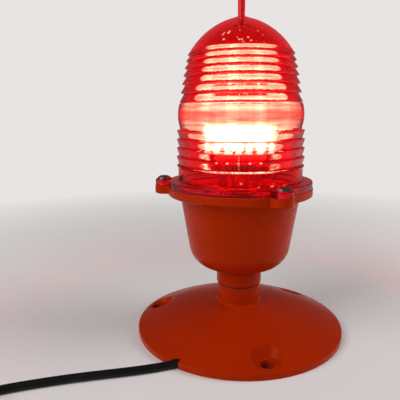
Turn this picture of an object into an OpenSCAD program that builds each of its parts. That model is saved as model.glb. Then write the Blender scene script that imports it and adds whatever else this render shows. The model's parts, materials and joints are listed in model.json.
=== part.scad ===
// Navigation light: a prismatic lens on a cast bowl, whose neck turns on the collar of a round base.
// The origin is the centre of the base on the ground, +Z is up and +X is to the viewer's right. Millimetres.

/* [Base] */
// Radius of the base
base_r = 90; // [80:1:110]
// Height of the upright rim
rim_h = 5; // [4:0.5:8]
// Rise of the dome from the rim to its crown
dome_rise = 20.6; // [16:0.2:28]
// Wall of the dome
base_wall = 4; // [3:0.5:5]
// Width of the ring that stands on the ground
rim_w = 10; // [8:0.5:14]
// Radius of the collar that takes the nipple
collar_r = 18.6; // [17:0.2:22]
// Height of the collar above the crown of the dome
collar_h = 15.4; // [12:0.2:30]
// Thickness of the ribs under the dome
rib_t = 3; // [2:0.5:5]
// Depth of the ribs under the dome
rib_drop = 4; // [2:0.5:5]

/* [Anchor holes] */
// Number of anchor holes
anchor_n = 3; // [3:1:4]
// Direction of the first anchor hole
anchor_turn = 41; // [35:1:50]
// Distance of the anchor holes from the edge of the base
anchor_in = 11; // [9:0.5:16]
// Radius of an anchor hole
anchor_hole_r = 6; // [4:0.25:7]
// Radius of the pocket's seat round an anchor hole
pocket_r = 9.6; // [8:0.2:11]
// Slope of the pocket's wall from the vertical
pocket_draft = 30; // [15:1:35]
// Height of the pocket's seat above the ground
seat_h = 6; // [5:0.5:8]

/* [Neck joint] */
// Outer radius of the pipe nipple
nipple_r = 13.2; // [12.6:0.1:14]
// Bore radius of the pipe nipple
nipple_bore_r = 10.2; // [9.8:0.1:10.8]
// Length of the pipe nipple
nipple_l = 30; // [24:1:32]
// Running clearance of the neck on the nipple
turn_clear = 0.05; // [0.02:0.01:0.1]
// Thickness of the seal ring between collar and neck
seal_t = 0.9; // [0.6:0.1:2]
// Gap between the seal ring and the neck
joint_gap = 0.25; // [0.2:0.05:0.4]
// Radius of the set screw
set_screw_r = 3; // [2:0.5:3.5]

/* [Housing] */
// Radius of the neck
neck_r = 19.6; // [18:0.2:23]
// Height of the neck
neck_h = 12.2; // [10:0.2:18]
// Height of the bowl from the neck to the flange
bowl_h = 66.9; // [60:0.5:90]
// Radius of the bowl under the flange
bowl_r = 51; // [50:0.5:54]
// Slope of the bowl's side from the vertical
bowl_draft = 9.2; // [6:0.2:12]
// Slope of the bowl's floor from the horizontal
floor_slope = 22.3; // [16:0.2:28]
// Radius of the bowl's lower corner
bowl_corner_r = 22; // [16:0.5:26]
// Wall of the bowl
bowl_wall = 3.5; // [2.5:0.25:4.5]
// Width of the flanges round the bowl
flange_w = 10.2; // [9.5:0.1:12]
// Thickness of the housing's flange
flange_t = 7; // [6:0.5:10]
// Thickness of the floor that the gland sits in
gland_floor_t = 5; // [4:0.5:7]

/* [Ears] */
// Number of ears
ear_n = 3; // [3:1:6]
// Direction of the first ear
ear_turn = 54; // [0:1:119]
// Distance of the lens screws outside the flange's edge
ear_out = 4.3; // [3:0.1:8]
// Radius of an ear's end
ear_r = 8; // [7.5:0.25:9]
// Radius of the lens screws
lens_screw_r = 2.5; // [2:0.5:3]

/* [Lens] */
// Thickness of the lens flange
lens_flange_t = 5.3; // [4:0.1:8]
// Inner radius of the lens at its foot
lens_bore_r = 47.8; // [47:0.1:48.6]
// Radius of the skirt
skirt_r = 52.3; // [51.5:0.1:53]
// Height of the skirt above the lens seat
skirt_h = 16.3; // [13:0.1:18]
// Number of lower prism rings
low_teeth = 5; // [3:1:6]
// Pitch of the lower prism rings
low_pitch = 7.28; // [6:0.02:9]
// Radius of the lowest prism ring
low_tip_r = 53.8; // [53:0.1:55]
// Depth of the lower prism rings
low_depth = 2.5; // [1.5:0.1:3]
// Greatest radius of the belt
belt_r = 52.1; // [51.5:0.1:53]
// Height of the belt
belt_h = 20; // [14:0.5:26]
// Radius of the belt's bulge in section
belt_bulge_r = 32; // [28:1:60]
// Number of upper prism rings
up_teeth = 7; // [5:1:7]
// Pitch of the lowest upper prism rings
up_pitch = 7.6; // [6.5:0.1:9]
// Share by which each upper pitch is shorter than the one under it
up_tighten = 0.07; // [0:0.01:0.08]
// Radius of the lowest upper prism ring
up_tip_r = 50.8; // [50:0.1:52]
// Step of the upper prism rings towards the axis
up_step = 1.17; // [0.8:0.01:1.2]
// Depth of the upper prism rings
up_depth = 3; // [2:0.1:3.2]
// Radius of the crown's arc in section
crown_arc_r = 59.8; // [58:0.2:72]
// Distance of that arc's centre beyond the axis
crown_arc_in = 9.1; // [4:0.1:10]
// Wall of the crown
crown_wall = 5.2; // [4:0.2:6]

/* [Bird spike] */
// Length of the spike above the crown
spike_l = 62; // [40:1:120]
// Radius of the spike
spike_r = 2.9; // [2.5:0.1:3.5]
// Radius of the bush in the crown
insert_r = 4.2; // [3.8:0.1:4.8]

/* [Lamp tower] */
// Thickness of the chassis plate
plate_t = 2; // [1.5:0.5:3]
// Depth of the chassis plate's top under the lens seat
plate_drop = 8.2; // [4:0.2:12]
// Length of the tower's posts
post_l = 32; // [24:1:36]
// Thickness of the circuit boards
board_t = 1.6; // [1:0.2:2]
// Radius of the tower's lower board
low_board_r = 25; // [24:0.5:28]
// Radius of the tower's upper board
top_board_r = 22.5; // [22.4:0.1:26]
// Outer radius of the tower's core
core_r = 13; // [11:0.5:14]
// Height of the tower's core
core_h = 50.8; // [50:0.4:58]
// Number of lamp columns
column_n = 20; // [12:1:20]
// Number of lamps in a column
lamp_rows = 5; // [3:1:5]
// Distance between the lamps of a column
lamp_pitch = 9.5; // [6:0.5:10]
// Radius of a lamp
lamp_r = 2.5; // [1.5:0.1:2.5]
// Length of a lamp
lamp_l = 5.3; // [4:0.1:5.5]

/* [Supply] */
// Radius of the driver board
driver_r = 35; // [34:0.5:37]
// Length of the driver board's posts
driver_post_l = 22; // [18:1:24]

/* [Lead] */
// Diameter of the lead
cord_d = 6.2; // [5.8:0.1:6.4]
// Clearance of the slot round the lead
slot_clear = 0.4; // [0.3:0.1:1.5]
// Turns of the coil
coil_turns = 3.5; // [3.5:1:5.5]
// Radius of the coil's outer turn
coil_r = 39; // [37:0.5:42]
// Distance between the centres of neighbouring turns
turn_pitch = 6.8; // [6.8:0.1:7.4]
// Thickness of the strap round the coil
tie_t = 0.7; // [0.5:0.1:1]
// Width of the strap round the coil
tie_w = 8; // [5:0.5:12]

/* [Hidden] */
$fn = 96;

cord_r = cord_d/2;
fit = 0.05; // radial clearance of a screw or pin in its hole
edge = 1.2; // rounding of cast edges
cut = 1; // how far a cutting solid runs past a face

// Stations of the base
crown_z = rim_h + dome_rise;
collar_top = crown_z + collar_h;
cavity_r = base_r - rim_w;
anchor_at_r = base_r - anchor_in;
boss_r = pocket_r + base_wall + 2;

// Stations of the neck joint
seal_top = collar_top + seal_t;
neck_bottom = seal_top + joint_gap;
nipple_low = collar_top + 13 - nipple_l;
nipple_top = nipple_low + nipple_l;
nipple_hole_r = nipple_r + turn_clear;

// Stations of the housing
neck_top = neck_bottom + neck_h;
flange_low = neck_top + bowl_h;
flange_r = bowl_r + flange_w;
ear_at_r = flange_r + ear_out;
lens_seat = flange_low + flange_t;
gland_seat = nipple_top + 1;
bowl_floor = gland_seat + gland_floor_t;
boss_at_r = bowl_r - 10.5;
boss_turn = 0;
boss_screw_r = 2;

// Centre of the bowl's corner arc, which touches the side line and the floor line
side_off = bowl_corner_r - bowl_r*cos(bowl_draft) + flange_low*sin(bowl_draft);
floor_off = bowl_corner_r - neck_r*sin(floor_slope) + neck_top*cos(floor_slope);
corner_det = cos(floor_slope + bowl_draft);
corner_at_r = (floor_off*sin(bowl_draft) - side_off*cos(floor_slope))/corner_det;
corner_at_z = (floor_off*cos(bowl_draft) - side_off*sin(floor_slope))/corner_det;

// Stations of the lens
lens_flange_top = lens_seat + lens_flange_t;
low_first = skirt_h + 1.9;
belt_low = low_first + (low_teeth - 1)*low_pitch + 1.6;
up_first = belt_low + belt_h + 0.5;
function up_tip_z(k) = lens_seat + up_first + up_pitch*(k - up_tighten*k*(k - 1)/2);
function up_tip(k) = up_tip_r - up_step*k;
function low_tip_z(k) = lens_seat + low_first + low_pitch*k;
function low_tip(k) = low_tip_r - 0.175*k;
crown_start_r = up_tip(up_teeth - 1) - 1.5;
crown_start_z = up_tip_z(up_teeth - 1) + 1.4;
crown_arc_z = crown_start_z - sqrt(pow(crown_arc_r, 2) - pow(crown_start_r + crown_arc_in, 2));
inner_crown_r = crown_arc_r - crown_wall;
inner_start_r = up_tip(up_teeth - 1) - up_depth - 4;
function crown_z_at(r, arc_r) = crown_arc_z + sqrt(pow(arc_r, 2) - pow(r + crown_arc_in, 2));
crown_boss_r = insert_r + 2;
crown_boss_top = crown_z_at(crown_boss_r, crown_arc_r) + 0.3;
crown_boss_low = crown_z_at(crown_boss_r, inner_crown_r) - 2;

// Lens screws
washer_t = 1.2;
washer_r = lens_screw_r + 3.8;
screw_head_r = lens_screw_r + 3.2;
screw_head_h = 3.2;
lens_screw_l = lens_flange_t + washer_t + flange_t - 1;

// Stations of the tower and of the supply under it
plate_top = lens_seat - plate_drop;
plate_low = plate_top - plate_t;
plate_r = bowl_r - (flange_low - plate_low)*tan(bowl_draft) - bowl_wall - 1;
plate_hole_r = 9;
post_at_r = low_board_r - 4;
post_hex_r = 3.2;
post_turn = 45;
small_screw_r = 1.5;
low_board_z = plate_top + post_l;
core_z = low_board_z + board_t;
top_board_z = core_z + core_h;
bolt_r = 2;
bolt_nut_h = 3.2;
strip_t = 1.2;
strip_r = core_r + 2.4;
strip_w = 2*strip_r*tan(180/column_n) - 0.3;
lamp_foot_r = strip_r + strip_t;
first_lamp_z = core_z + (core_h - (lamp_rows - 1)*lamp_pitch)/2;
driver_top = plate_low - driver_post_l;
driver_low = driver_top - board_t;
driver_post_at_r = 29;
driver_post_turn = 60;
wire_r = 0.9;
wire_at = 6;

// Cable gland
gland_hole_r = 6.25;
gland_bore_r = cord_r + 0.9;
gland_hex_r = 8.4;
gland_shoulder_h = 4;
gland_nut_h = 8;
gland_nut_z = gland_seat - gland_shoulder_h - gland_nut_h;
locknut_h = 2.6;
cord_inner_top = bowl_floor + 9;

// Route of the lead, chosen by hand: down from the gland, round on to the ground and out under the rim
slot_heading = -160;
slot_at = [-51, -70, cord_r];
coil_centre = [-196, -156];
coil_start = 115; // direction of the coil's first point from its centre
coil_lift = tie_t + 0.15;
coil_z = cord_r + coil_lift;
tie_at = 200; // direction of the strap from the coil's centre
connector_turn = 20;
connector_at = [-119, -165];
connector_h = 9.6;

function unit(v) = v/norm(v);
function heading(a) = [cos(a), sin(a), 0];
turn_in = (coil_turns - 0.5)/2; // turns before the climb to the upper layer
function coil_radius(t) = coil_r - turn_pitch*(t <= turn_in + 0.25 ? t : coil_turns - t);
function climb(t) = t <= turn_in ? 0 : t >= turn_in + 0.5 ? 1 : smooth((t - turn_in)/0.5);
function smooth(s) = s*s*(3 - 2*s);
function coil_point(t) = [
    coil_centre[0] + coil_radius(t)*cos(coil_start + 360*t),
    coil_centre[1] + coil_radius(t)*sin(coil_start + 360*t),
    coil_z + turn_pitch*climb(t)];
turn_rings = 24;
coil_turn_points = [for (i = [0:coil_turns*turn_rings]) coil_point(i/turn_rings)];
coil_in_heading = coil_start + 90;
coil_out_heading = coil_start + 360*coil_turns + 90;
coil_in = coil_point(0) - cord_d*heading(coil_in_heading);
coil_out = coil_point(coil_turns) + cord_d*heading(coil_out_heading);
coil_route = concat([coil_in], coil_turn_points, [coil_out]);
free_route = [
    [0, 0, gland_nut_z], [0, 0, 36], [0, 0, 28],
    [-0.7, -1.8, 18.5], [-2.5, -6.9, 10.4], [-5.3, -14.5, 5], [-8.6, -23.5, cord_r],
    [-14, -38, cord_r], [-24, -54, cord_r], [-38.5, -65.4, cord_r], slot_at,
    [-66, -75.3, cord_r], [-81, -79.3, cord_r], [-96, -82.5, cord_r], [-112, -85.7, cord_r],
    [-128, -89.2, cord_r], [-150, -95, cord_r], [-172, -102, cord_r], [-190, -110.6, cord_r + 0.4],
    coil_in];
connector_rear = [connector_at[0], connector_at[1], connector_h/2];
tail_route = [
    coil_out, [-160, -182.3, 10.4], [-146, -176, 7.8],
    connector_rear - 13*heading(connector_turn), connector_rear];

// Tube swept along a route, with its rings carried from point to point without twist
function course(p, i) = unit(
    (i < len(p) - 1 ? unit(p[i + 1] - p[i]) : [0, 0, 0]) + (i > 0 ? unit(p[i] - p[i - 1]) : [0, 0, 0]));
function across(n, t) = unit(n - (n*t)*t);
function rings(p, n, i) = i == len(p) ? [] : let (t = course(p, i), m = across(n, t))
    concat([[p[i], m, cross(t, m)]], rings(p, m, i + 1));
function ring_point(f, r, a) = f[0] + r*(cos(a)*f[1] + sin(a)*f[2]);
module tube(route, r, sides, side_way) {
    frames = rings(route, side_way, 0);
    last = (len(route) - 1)*sides;
    polyhedron(
        points = [for (f = frames, k = [0:sides - 1]) ring_point(f, r, 360*(k + 0.5)/sides)],
        faces = concat(
            [for (i = [0:len(route) - 2], k = [0:sides - 1])
                let (a = i*sides + k, b = i*sides + (k + 1)%sides)
                each [[a, b + sides, b], [a, a + sides, b + sides]]],
            [for (k = [1:sides - 2]) [0, k, k + 1]],
            [for (k = [1:sides - 2]) [last, last + k + 1, last + k]]));
}

// Length of a route, and the least gap between stretches of it that are half a turn or more apart
function route_length(p, i = 1) = i == len(p) ? 0 : norm(p[i] - p[i - 1]) + route_length(p, i + 1);
function least_gap(p, apart) = min([for (i = [0:len(p) - 1 - apart], j = [i + apart:len(p) - 1])
    norm(p[i] - p[j])]) - cord_d;
echo(coil_gap = least_gap(coil_turn_points, turn_rings/2));
echo(lead_length = route_length(free_route) + route_length(coil_route) + route_length(tail_route));

function arc(centre, r, from, to, steps) = [for (i = [0:steps]) let (a = from + (to - from)*i/steps)
    [centre[0] + r*cos(a), centre[1] + r*sin(a)]];
module around(n, r, turn) {
    for (i = [0:n - 1]) rotate([0, 0, turn + 360*i/n]) translate([r, 0, 0]) children();
}
module ring(outer, inner, h) {
    difference() {
        cylinder(h = h, r = outer);
        translate([0, 0, -cut]) cylinder(h = h + 2*cut, r = inner);
    }
}
module hex_nut(flats_r, bore, h) {
    difference() {
        cylinder(h = h, r = flats_r, $fn = 6);
        translate([0, 0, -cut]) cylinder(h = h + 2*cut, r = bore, $fn = 32);
    }
}
// Screw with its head's seat at z = 0, its shank down and a six-sided socket in its domed head
module socket_screw(r, l, head_r, head_h) {
    difference() {
        union() {
            translate([0, 0, -l]) cylinder(h = l + 0.1, r = r, $fn = 32);
            rotate_extrude($fn = 48) polygon(concat(
                [[0, 0], [head_r, 0], [head_r, head_h*0.35]],
                arc([head_r*0.55, head_h*0.35], head_r*0.45, 20, 70, 3),
                [[head_r*0.45, head_h], [0, head_h]]));
        }
        translate([0, 0, head_h*0.4]) cylinder(h = head_h, r = r*0.85, $fn = 6);
    }
}

// Base
function dome_z(rho) = rim_h + dome_rise*(1 - pow(rho/base_r, 2));
function dome_line(from, to, down, steps) = [for (i = [0:steps]) let (rho = from + (to - from)*i/steps)
    [rho, dome_z(rho) - down]];
collar_foot = 1.6; // fillet between dome and collar
module base_outside() {
    rotate_extrude() polygon(concat(
        [[0, 0], [base_r - 0.6, 0], [base_r, 0.6], [base_r, rim_h - edge*0.6], [base_r - 0.4, rim_h - 0.2]],
        dome_line(base_r - edge, collar_r + collar_foot, 0, 18),
        [[collar_r + 0.4, dome_z(collar_r) + 0.5], [collar_r, dome_z(collar_r) + collar_foot],
            [collar_r, collar_top - 0.8], [collar_r - 0.8, collar_top], [0, collar_top]]));
}
module base_cavity() {
    difference() {
        rotate_extrude() polygon(concat(
            [[0, -cut], [cavity_r + 0.4, -cut], [cavity_r, 1]], dome_line(cavity_r, 0, base_wall, 14)));
        around(anchor_n, anchor_at_r, anchor_turn) translate([0, 0, -2*cut])
            cylinder(h = crown_z, r = boss_r);
        intersection() {
            rotate_extrude() polygon(concat(
                dome_line(base_r, 0, base_wall + rib_drop, 14), [[0, crown_z], [base_r, crown_z]]));
            around(2*anchor_n, nipple_r + 2, anchor_turn) translate([0, -rib_t/2, 0])
                cube([base_r, rib_t, crown_z]);
        }
    }
}
module base() {
    color([0.93, 0.32, 0.06]) difference() {
        base_outside();
        base_cavity();
        around(anchor_n, anchor_at_r, anchor_turn) {
            translate([0, 0, -cut]) cylinder(h = crown_z, r = anchor_hole_r, $fn = 48);
            translate([0, 0, seat_h]) cylinder(
                h = dome_rise, r1 = pocket_r, r2 = pocket_r + dome_rise*tan(pocket_draft), $fn = 64);
        }
        translate([0, 0, crown_z - 2*base_wall])
            cylinder(h = 2*base_wall + collar_h + cut, r = nipple_hole_r);
        translate([0, nipple_r - 2, set_screw_z]) rotate([-90, 0, 0])
            cylinder(h = collar_r, r = set_screw_r, $fn = 32);
        translate(slot_at) rotate([0, 0, slot_heading]) {
            rotate([0, 90, 0]) cylinder(h = 2*rim_w + 4, r = cord_r + slot_clear, center = true, $fn = 32);
            translate([-rim_w - 2, -cord_r - slot_clear, -cord_r - cut])
                cube([2*rim_w + 4, cord_d + 2*slot_clear, cord_r + cut]);
        }
    }
}

// Neck joint
set_screw_z = crown_z + collar_h*0.55;
module nipple() {
    color("silver") translate([0, 0, nipple_low]) difference() {
        rotate_extrude() polygon([
            [nipple_bore_r, 0], [nipple_r - 1, 0], [nipple_r, 1], [nipple_r, nipple_l - 1],
            [nipple_r - 1, nipple_l], [nipple_bore_r, nipple_l]]);
        translate([0, nipple_r - 0.6, set_screw_z - nipple_low]) rotate([-90, 0, 0])
            cylinder(h = cut, r = set_screw_r, $fn = 32);
    }
}
module neck_seal() {
    color([0.1, 0.1, 0.1]) translate([0, 0, collar_top]) ring(collar_r - 0.6, nipple_r + 0.3, seal_t);
}
module set_screw() {
    tip = nipple_r - 0.5;
    color([0.25, 0.25, 0.27]) translate([0, tip, set_screw_z]) rotate([-90, 0, 0]) difference() {
        cylinder(h = collar_r - 0.8 - tip, r = set_screw_r - fit, $fn = 32);
        translate([0, 0, collar_r - 3.4 - tip]) cylinder(h = 4, r = set_screw_r*0.55, $fn = 6);
    }
}

// Flange outline with its ears, shared by lens and housing
module eared_flange(t) {
    linear_extrude(t) {
        circle(r = flange_r);
        around(ear_n, ear_at_r, ear_turn) {
            circle(r = ear_r, $fn = 64);
            translate([-ear_r - 4, -ear_r]) square([ear_r + 4, 2*ear_r]);
        }
    }
}

// Housing
function side_r(z, off) = bowl_r - (flange_low - z)*tan(bowl_draft) - off/cos(bowl_draft);
function floor_z(r, off) = neck_top + (r - neck_r)*tan(floor_slope) + off/cos(floor_slope);
function bowl_corner(off) =
    arc([corner_at_r, corner_at_z], bowl_corner_r - off, floor_slope - 90, -bowl_draft, 8);
shoulder_w = 2.4; // step under the flange
gasket_r = bowl_r + 6.5;
gasket_w = 3;
gasket_t = 1.5;
module housing_outside() {
    rotate_extrude() polygon(concat(
        [[0, neck_bottom], [neck_r - 1.2, neck_bottom], [neck_r - 0.35, neck_bottom + 0.35],
            [neck_r, neck_bottom + 1.2], [neck_r, neck_top - 0.6], [neck_r + 0.8, floor_z(neck_r + 0.8, 0)]],
        bowl_corner(0),
        [[side_r(flange_low - 4, 0), flange_low - 4], [bowl_r + shoulder_w*0.7, flange_low - 2.6],
            [bowl_r + shoulder_w, flange_low - 1.2], [bowl_r + shoulder_w, flange_low + 1],
            [0, flange_low + 1]]));
    translate([0, 0, flange_low]) eared_flange(flange_t);
}
module housing_inside() {
    floor_edge = neck_r + (bowl_floor - floor_z(neck_r, bowl_wall))/tan(floor_slope);
    rotate_extrude() polygon(concat(
        [[0, bowl_floor], [floor_edge, bowl_floor]], bowl_corner(bowl_wall),
        [[side_r(flange_low, bowl_wall), flange_low], [side_r(flange_low, bowl_wall), lens_seat + cut],
            [0, lens_seat + cut]]));
}
module chassis_bosses() {
    boss_h = 20;
    around(3, boss_at_r, boss_turn) translate([0, 0, plate_low - boss_h]) {
        cylinder(h = boss_h, r = 4.5, $fn = 48);
        translate([0, -1.5, 0]) cube([bowl_r - boss_at_r - 1.5, 3, boss_h]);
    }
}
module housing() {
    color([0.93, 0.36, 0.08]) difference() {
        union() {
            difference() {
                housing_outside();
                housing_inside();
            }
            intersection() {
                chassis_bosses();
                housing_outside();
            }
        }
        translate([0, 0, neck_bottom - cut]) cylinder(h = gland_seat - neck_bottom + cut, r = nipple_hole_r);
        translate([0, 0, gland_seat - cut]) cylinder(h = gland_floor_t + 2*cut, r = gland_hole_r, $fn = 48);
        around(ear_n, ear_at_r, ear_turn) translate([0, 0, flange_low - cut])
            cylinder(h = flange_t + 2*cut, r = lens_screw_r, $fn = 32);
        around(3, boss_at_r, boss_turn) translate([0, 0, plate_low - 14])
            cylinder(h = 14 + cut, r = boss_screw_r, $fn = 32);
        translate([0, 0, lens_seat - gasket_t]) ring(gasket_r, gasket_r - gasket_w, gasket_t + cut);
        rotate([0, 0, earth_turn]) translate([earth_at_r, 0, bowl_floor - 4])
            cylinder(h = 4 + cut, r = earth_r, $fn = 32);
    }
}

// Lens
belt_arc_in = belt_r - belt_bulge_r;
belt_mid = lens_seat + belt_low + belt_h/2 + 0.3;
belt_half = asin((belt_h/2 - 0.6)/belt_bulge_r);
module lens_outside() {
    rotate_extrude($fn = 144) polygon(concat(
        [[0, lens_seat], [flange_r - 0.5, lens_seat], [flange_r - 0.5, lens_flange_top - 0.2],
            [flange_r - 0.7, lens_flange_top]],
        arc([skirt_r + 3, lens_flange_top + 3], 3, 270, 180, 4),
        [[skirt_r, lens_seat + skirt_h]],
        [for (k = [0:low_teeth - 1])
            each [[low_tip(k), low_tip_z(k)], [low_tip(k) - low_depth, low_tip_z(k)]]],
        arc([belt_arc_in, belt_mid], belt_bulge_r, -belt_half, belt_half, 8),
        [for (k = [0:up_teeth - 1]) each [[up_tip(k) - up_depth, up_tip_z(k)], [up_tip(k), up_tip_z(k)]]],
        [for (i = [0:14]) let (r = crown_start_r + (crown_boss_r - crown_start_r)*i/14)
            [r, crown_z_at(r, crown_arc_r)]],
        [[crown_boss_r - 0.3, crown_boss_top], [0, crown_boss_top]]));
    translate([0, 0, lens_seat]) eared_flange(lens_flange_t);
}
module lens_inside() {
    belt_inner_r = up_tip_r - up_depth - 1.4;
    rotate_extrude($fn = 144) polygon(concat(
        [[0, lens_seat - cut], [lens_bore_r, lens_seat - cut], [lens_bore_r, lens_seat + skirt_h],
            [belt_inner_r, lens_seat + up_first]],
        [for (i = [0:12]) let (r = inner_start_r + (crown_boss_r - inner_start_r)*i/12)
            [r, crown_z_at(r, inner_crown_r)]],
        [[crown_boss_r, crown_boss_low], [0, crown_boss_low]]));
}
module lens() {
    color([0.8, 0.05, 0.05, 0.5]) difference() {
        lens_outside();
        lens_inside();
        translate([0, 0, crown_boss_low - cut])
            cylinder(h = crown_boss_top - crown_boss_low + 2*cut, r = insert_r, $fn = 48);
        around(ear_n, ear_at_r, ear_turn) translate([0, 0, lens_seat - cut])
            cylinder(h = lens_flange_t + 2*cut, r = lens_screw_r + 0.3, $fn = 32);
    }
}
module lens_gasket() {
    color([0.15, 0.15, 0.16]) translate([0, 0, lens_seat - gasket_t])
        ring(gasket_r - 0.1, gasket_r - gasket_w + 0.1, gasket_t);
}
module lens_screws() {
    color([0.2, 0.2, 0.22]) around(ear_n, ear_at_r, ear_turn) translate([0, 0, lens_flange_top + washer_t])
        socket_screw(lens_screw_r - fit, lens_screw_l, screw_head_r, screw_head_h);
}
module lens_washers() {
    color([0.3, 0.3, 0.32]) around(ear_n, ear_at_r, ear_turn) translate([0, 0, lens_flange_top])
        ring(washer_r, lens_screw_r, washer_t, $fn = 48);
}

// Bird spike
spike_tail_r = spike_r - 0.5;
spike_tail_l = 7;
module spike_insert() {
    color("goldenrod") translate([0, 0, crown_boss_low])
        ring(insert_r, spike_tail_r + fit, crown_boss_top - crown_boss_low, $fn = 48);
}
module bird_spike() {
    color([0.7, 0.1, 0.1]) translate([0, 0, crown_boss_top]) rotate_extrude($fn = 48) polygon([
        [0, -spike_tail_l], [spike_tail_r - 0.5, -spike_tail_l], [spike_tail_r, 0.5 - spike_tail_l],
        [spike_tail_r, 0], [spike_r, 0], [spike_r, spike_l - 2.2], [spike_r - 0.8, spike_l - 0.6],
        [spike_r - 1.9, spike_l], [0, spike_l]]);
}

// Lamp tower
module chassis_plate() {
    color("gainsboro") translate([0, 0, plate_low]) difference() {
        cylinder(h = plate_t, r = plate_r);
        translate([0, 0, -cut]) cylinder(h = plate_t + 2*cut, r = plate_hole_r, $fn = 48);
        around(3, boss_at_r, boss_turn) translate([0, 0, -cut])
            cylinder(h = plate_t + 2*cut, r = boss_screw_r + 0.2, $fn = 32);
        around(6, plate_r*0.72, 30) translate([0, 0, -cut]) cylinder(h = plate_t + 2*cut, r = 4, $fn = 32);
    }
}
module chassis_screws() {
    color("silver") around(3, boss_at_r, boss_turn) translate([0, 0, plate_top])
        socket_screw(boss_screw_r - fit, plate_t + 10, 3.5, 2.4);
}
module tower_posts() {
    color("goldenrod") around(4, post_at_r, post_turn) translate([0, 0, plate_top])
        hex_nut(post_hex_r, small_screw_r, post_l);
}
module board_screws() {
    color("silver") around(4, post_at_r, post_turn) translate([0, 0, low_board_z + board_t])
        socket_screw(small_screw_r - fit, board_t + 8, 2.7, 1.8);
}
module led_base_board() {
    color([0.92, 0.92, 0.9]) translate([0, 0, low_board_z]) difference() {
        cylinder(h = board_t, r = low_board_r);
        translate([0, 0, -cut]) cylinder(h = board_t + 2*cut, r = bolt_r, $fn = 32);
        around(4, post_at_r, post_turn) translate([0, 0, -cut])
            cylinder(h = board_t + 2*cut, r = small_screw_r + 0.1, $fn = 32);
        around(2, wire_at, 0) translate([0, 0, -cut]) cylinder(h = board_t + 2*cut, r = wire_r, $fn = 24);
    }
}
module led_core() {
    color("silver") translate([0, 0, core_z]) difference() {
        union() {
            ring(core_r, core_r - 1.5, core_h);
            ring(core_r - 1, bolt_r + 0.5, 2);
            translate([0, 0, core_h - 2]) ring(core_r - 1, bolt_r + 0.5, 2);
        }
        around(2, wire_at, 0) translate([0, 0, -cut]) cylinder(h = 4, r = wire_r + 0.2, $fn = 24);
    }
}
module led_strips() {
    color([0.95, 0.95, 0.92]) around(column_n, strip_r, 90/column_n) translate([0, -strip_w/2, core_z])
        cube([strip_t, strip_w, core_h]);
}
module lamp() {
    barrel = lamp_l - lamp_r;
    rotate_extrude($fn = 24) {
        square([lamp_r, barrel]);
        translate([0, barrel]) intersection() {
            circle(r = lamp_r, $fn = 24);
            square(lamp_r);
        }
    }
}
module leds() {
    color([1, 0.95, 0.8]) for (row = [0:lamp_rows - 1]) translate([0, 0, first_lamp_z + row*lamp_pitch])
        around(column_n, lamp_foot_r, 90/column_n) rotate([0, 90, 0]) lamp();
}
module led_top_board() {
    color([0.92, 0.92, 0.9]) translate([0, 0, top_board_z]) difference() {
        cylinder(h = board_t, r = top_board_r);
        translate([0, 0, -cut]) cylinder(h = board_t + 2*cut, r = bolt_r, $fn = 32);
    }
}
module tower_bolt() {
    color([0.6, 0.6, 0.62]) {
        translate([0, 0, top_board_z + board_t])
            socket_screw(bolt_r - fit, core_h + 2*board_t + bolt_nut_h + 1.4, 3.5, 2.6);
        translate([0, 0, low_board_z - bolt_nut_h]) hex_nut(3.8, bolt_r, bolt_nut_h);
    }
}
module photocell() {
    color([0.75, 0.2, 0.15]) translate([12, 0, top_board_z + board_t]) {
        cylinder(h = 2.4, r = 2.6, $fn = 32);
        translate([0, 0, 2.4]) cylinder(h = 0.4, r = 1.9, $fn = 32);
    }
}

// Supply
module driver_posts() {
    color("goldenrod") around(3, driver_post_at_r, driver_post_turn) {
        translate([0, 0, driver_top]) cylinder(h = driver_post_l, r = post_hex_r, $fn = 6);
        translate([0, 0, driver_low - 2]) cylinder(h = 2, r = 2.7, $fn = 32);
        translate([0, 0, driver_low - 1]) cylinder(h = board_t + 2, r = small_screw_r, $fn = 32);
    }
}
module driver_board() {
    color([0.1, 0.4, 0.2]) translate([0, 0, driver_low]) difference() {
        cylinder(h = board_t, r = driver_r);
        around(3, driver_post_at_r, driver_post_turn) translate([0, 0, -cut])
            cylinder(h = board_t + 2*cut, r = small_screw_r + fit, $fn = 32);
        around(2, wire_at, 0) translate([0, 0, -cut])
            cylinder(h = board_t + 2*cut, r = wire_r + fit, $fn = 24);
    }
}
big_can = [14, 14, 6.5, 20]; // place, radius and height of a capacitor
small_can = [22, -2, 4, 12];
choke_at = [-8, 21];
choke_r = 7;
choke_wire_r = 5; // radius of the choke's winding in section
converter_at = [-9, -30];
converter_size = [16, 14, 11];
chip_at = [-20, 2];
chip_size = [10, 8, 2];
switch_at = [12, -20];
switch_size = [5, 10, 14];
module driver_parts() {
    color([0.15, 0.15, 0.3]) for (can = [big_can, small_can])
        translate([can[0], can[1], driver_low - can[3]]) cylinder(h = can[3], r = can[2], $fn = 48);
    color([0.7, 0.4, 0.2]) translate([choke_at[0], choke_at[1], driver_low - choke_wire_r])
        rotate_extrude($fn = 48) polygon(arc([choke_r, 0], choke_wire_r, 0, 337.5, 15));
    color([0.1, 0.1, 0.1]) {
        translate([converter_at[0], converter_at[1], driver_low - converter_size[2]]) cube(converter_size);
        translate([chip_at[0], chip_at[1], driver_top]) cube(chip_size);
        translate([switch_at[0], switch_at[1], driver_top]) cube(switch_size);
    }
}
block_at = [-24, -9];
block_size = [12, 18, 10];
module terminal_block() {
    color([0.1, 0.45, 0.3]) translate([block_at[0], block_at[1], driver_low - block_size[2]]) difference() {
        cube(block_size);
        for (y = [4.5, 13.5]) {
            translate([6, y, -cut]) cylinder(h = 3, r = 2.2, $fn = 32);
            translate([block_size[0] - 5, y, 4]) rotate([0, 90, 0]) cylinder(h = 6, r = 1.4, $fn = 32);
        }
    }
}
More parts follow.
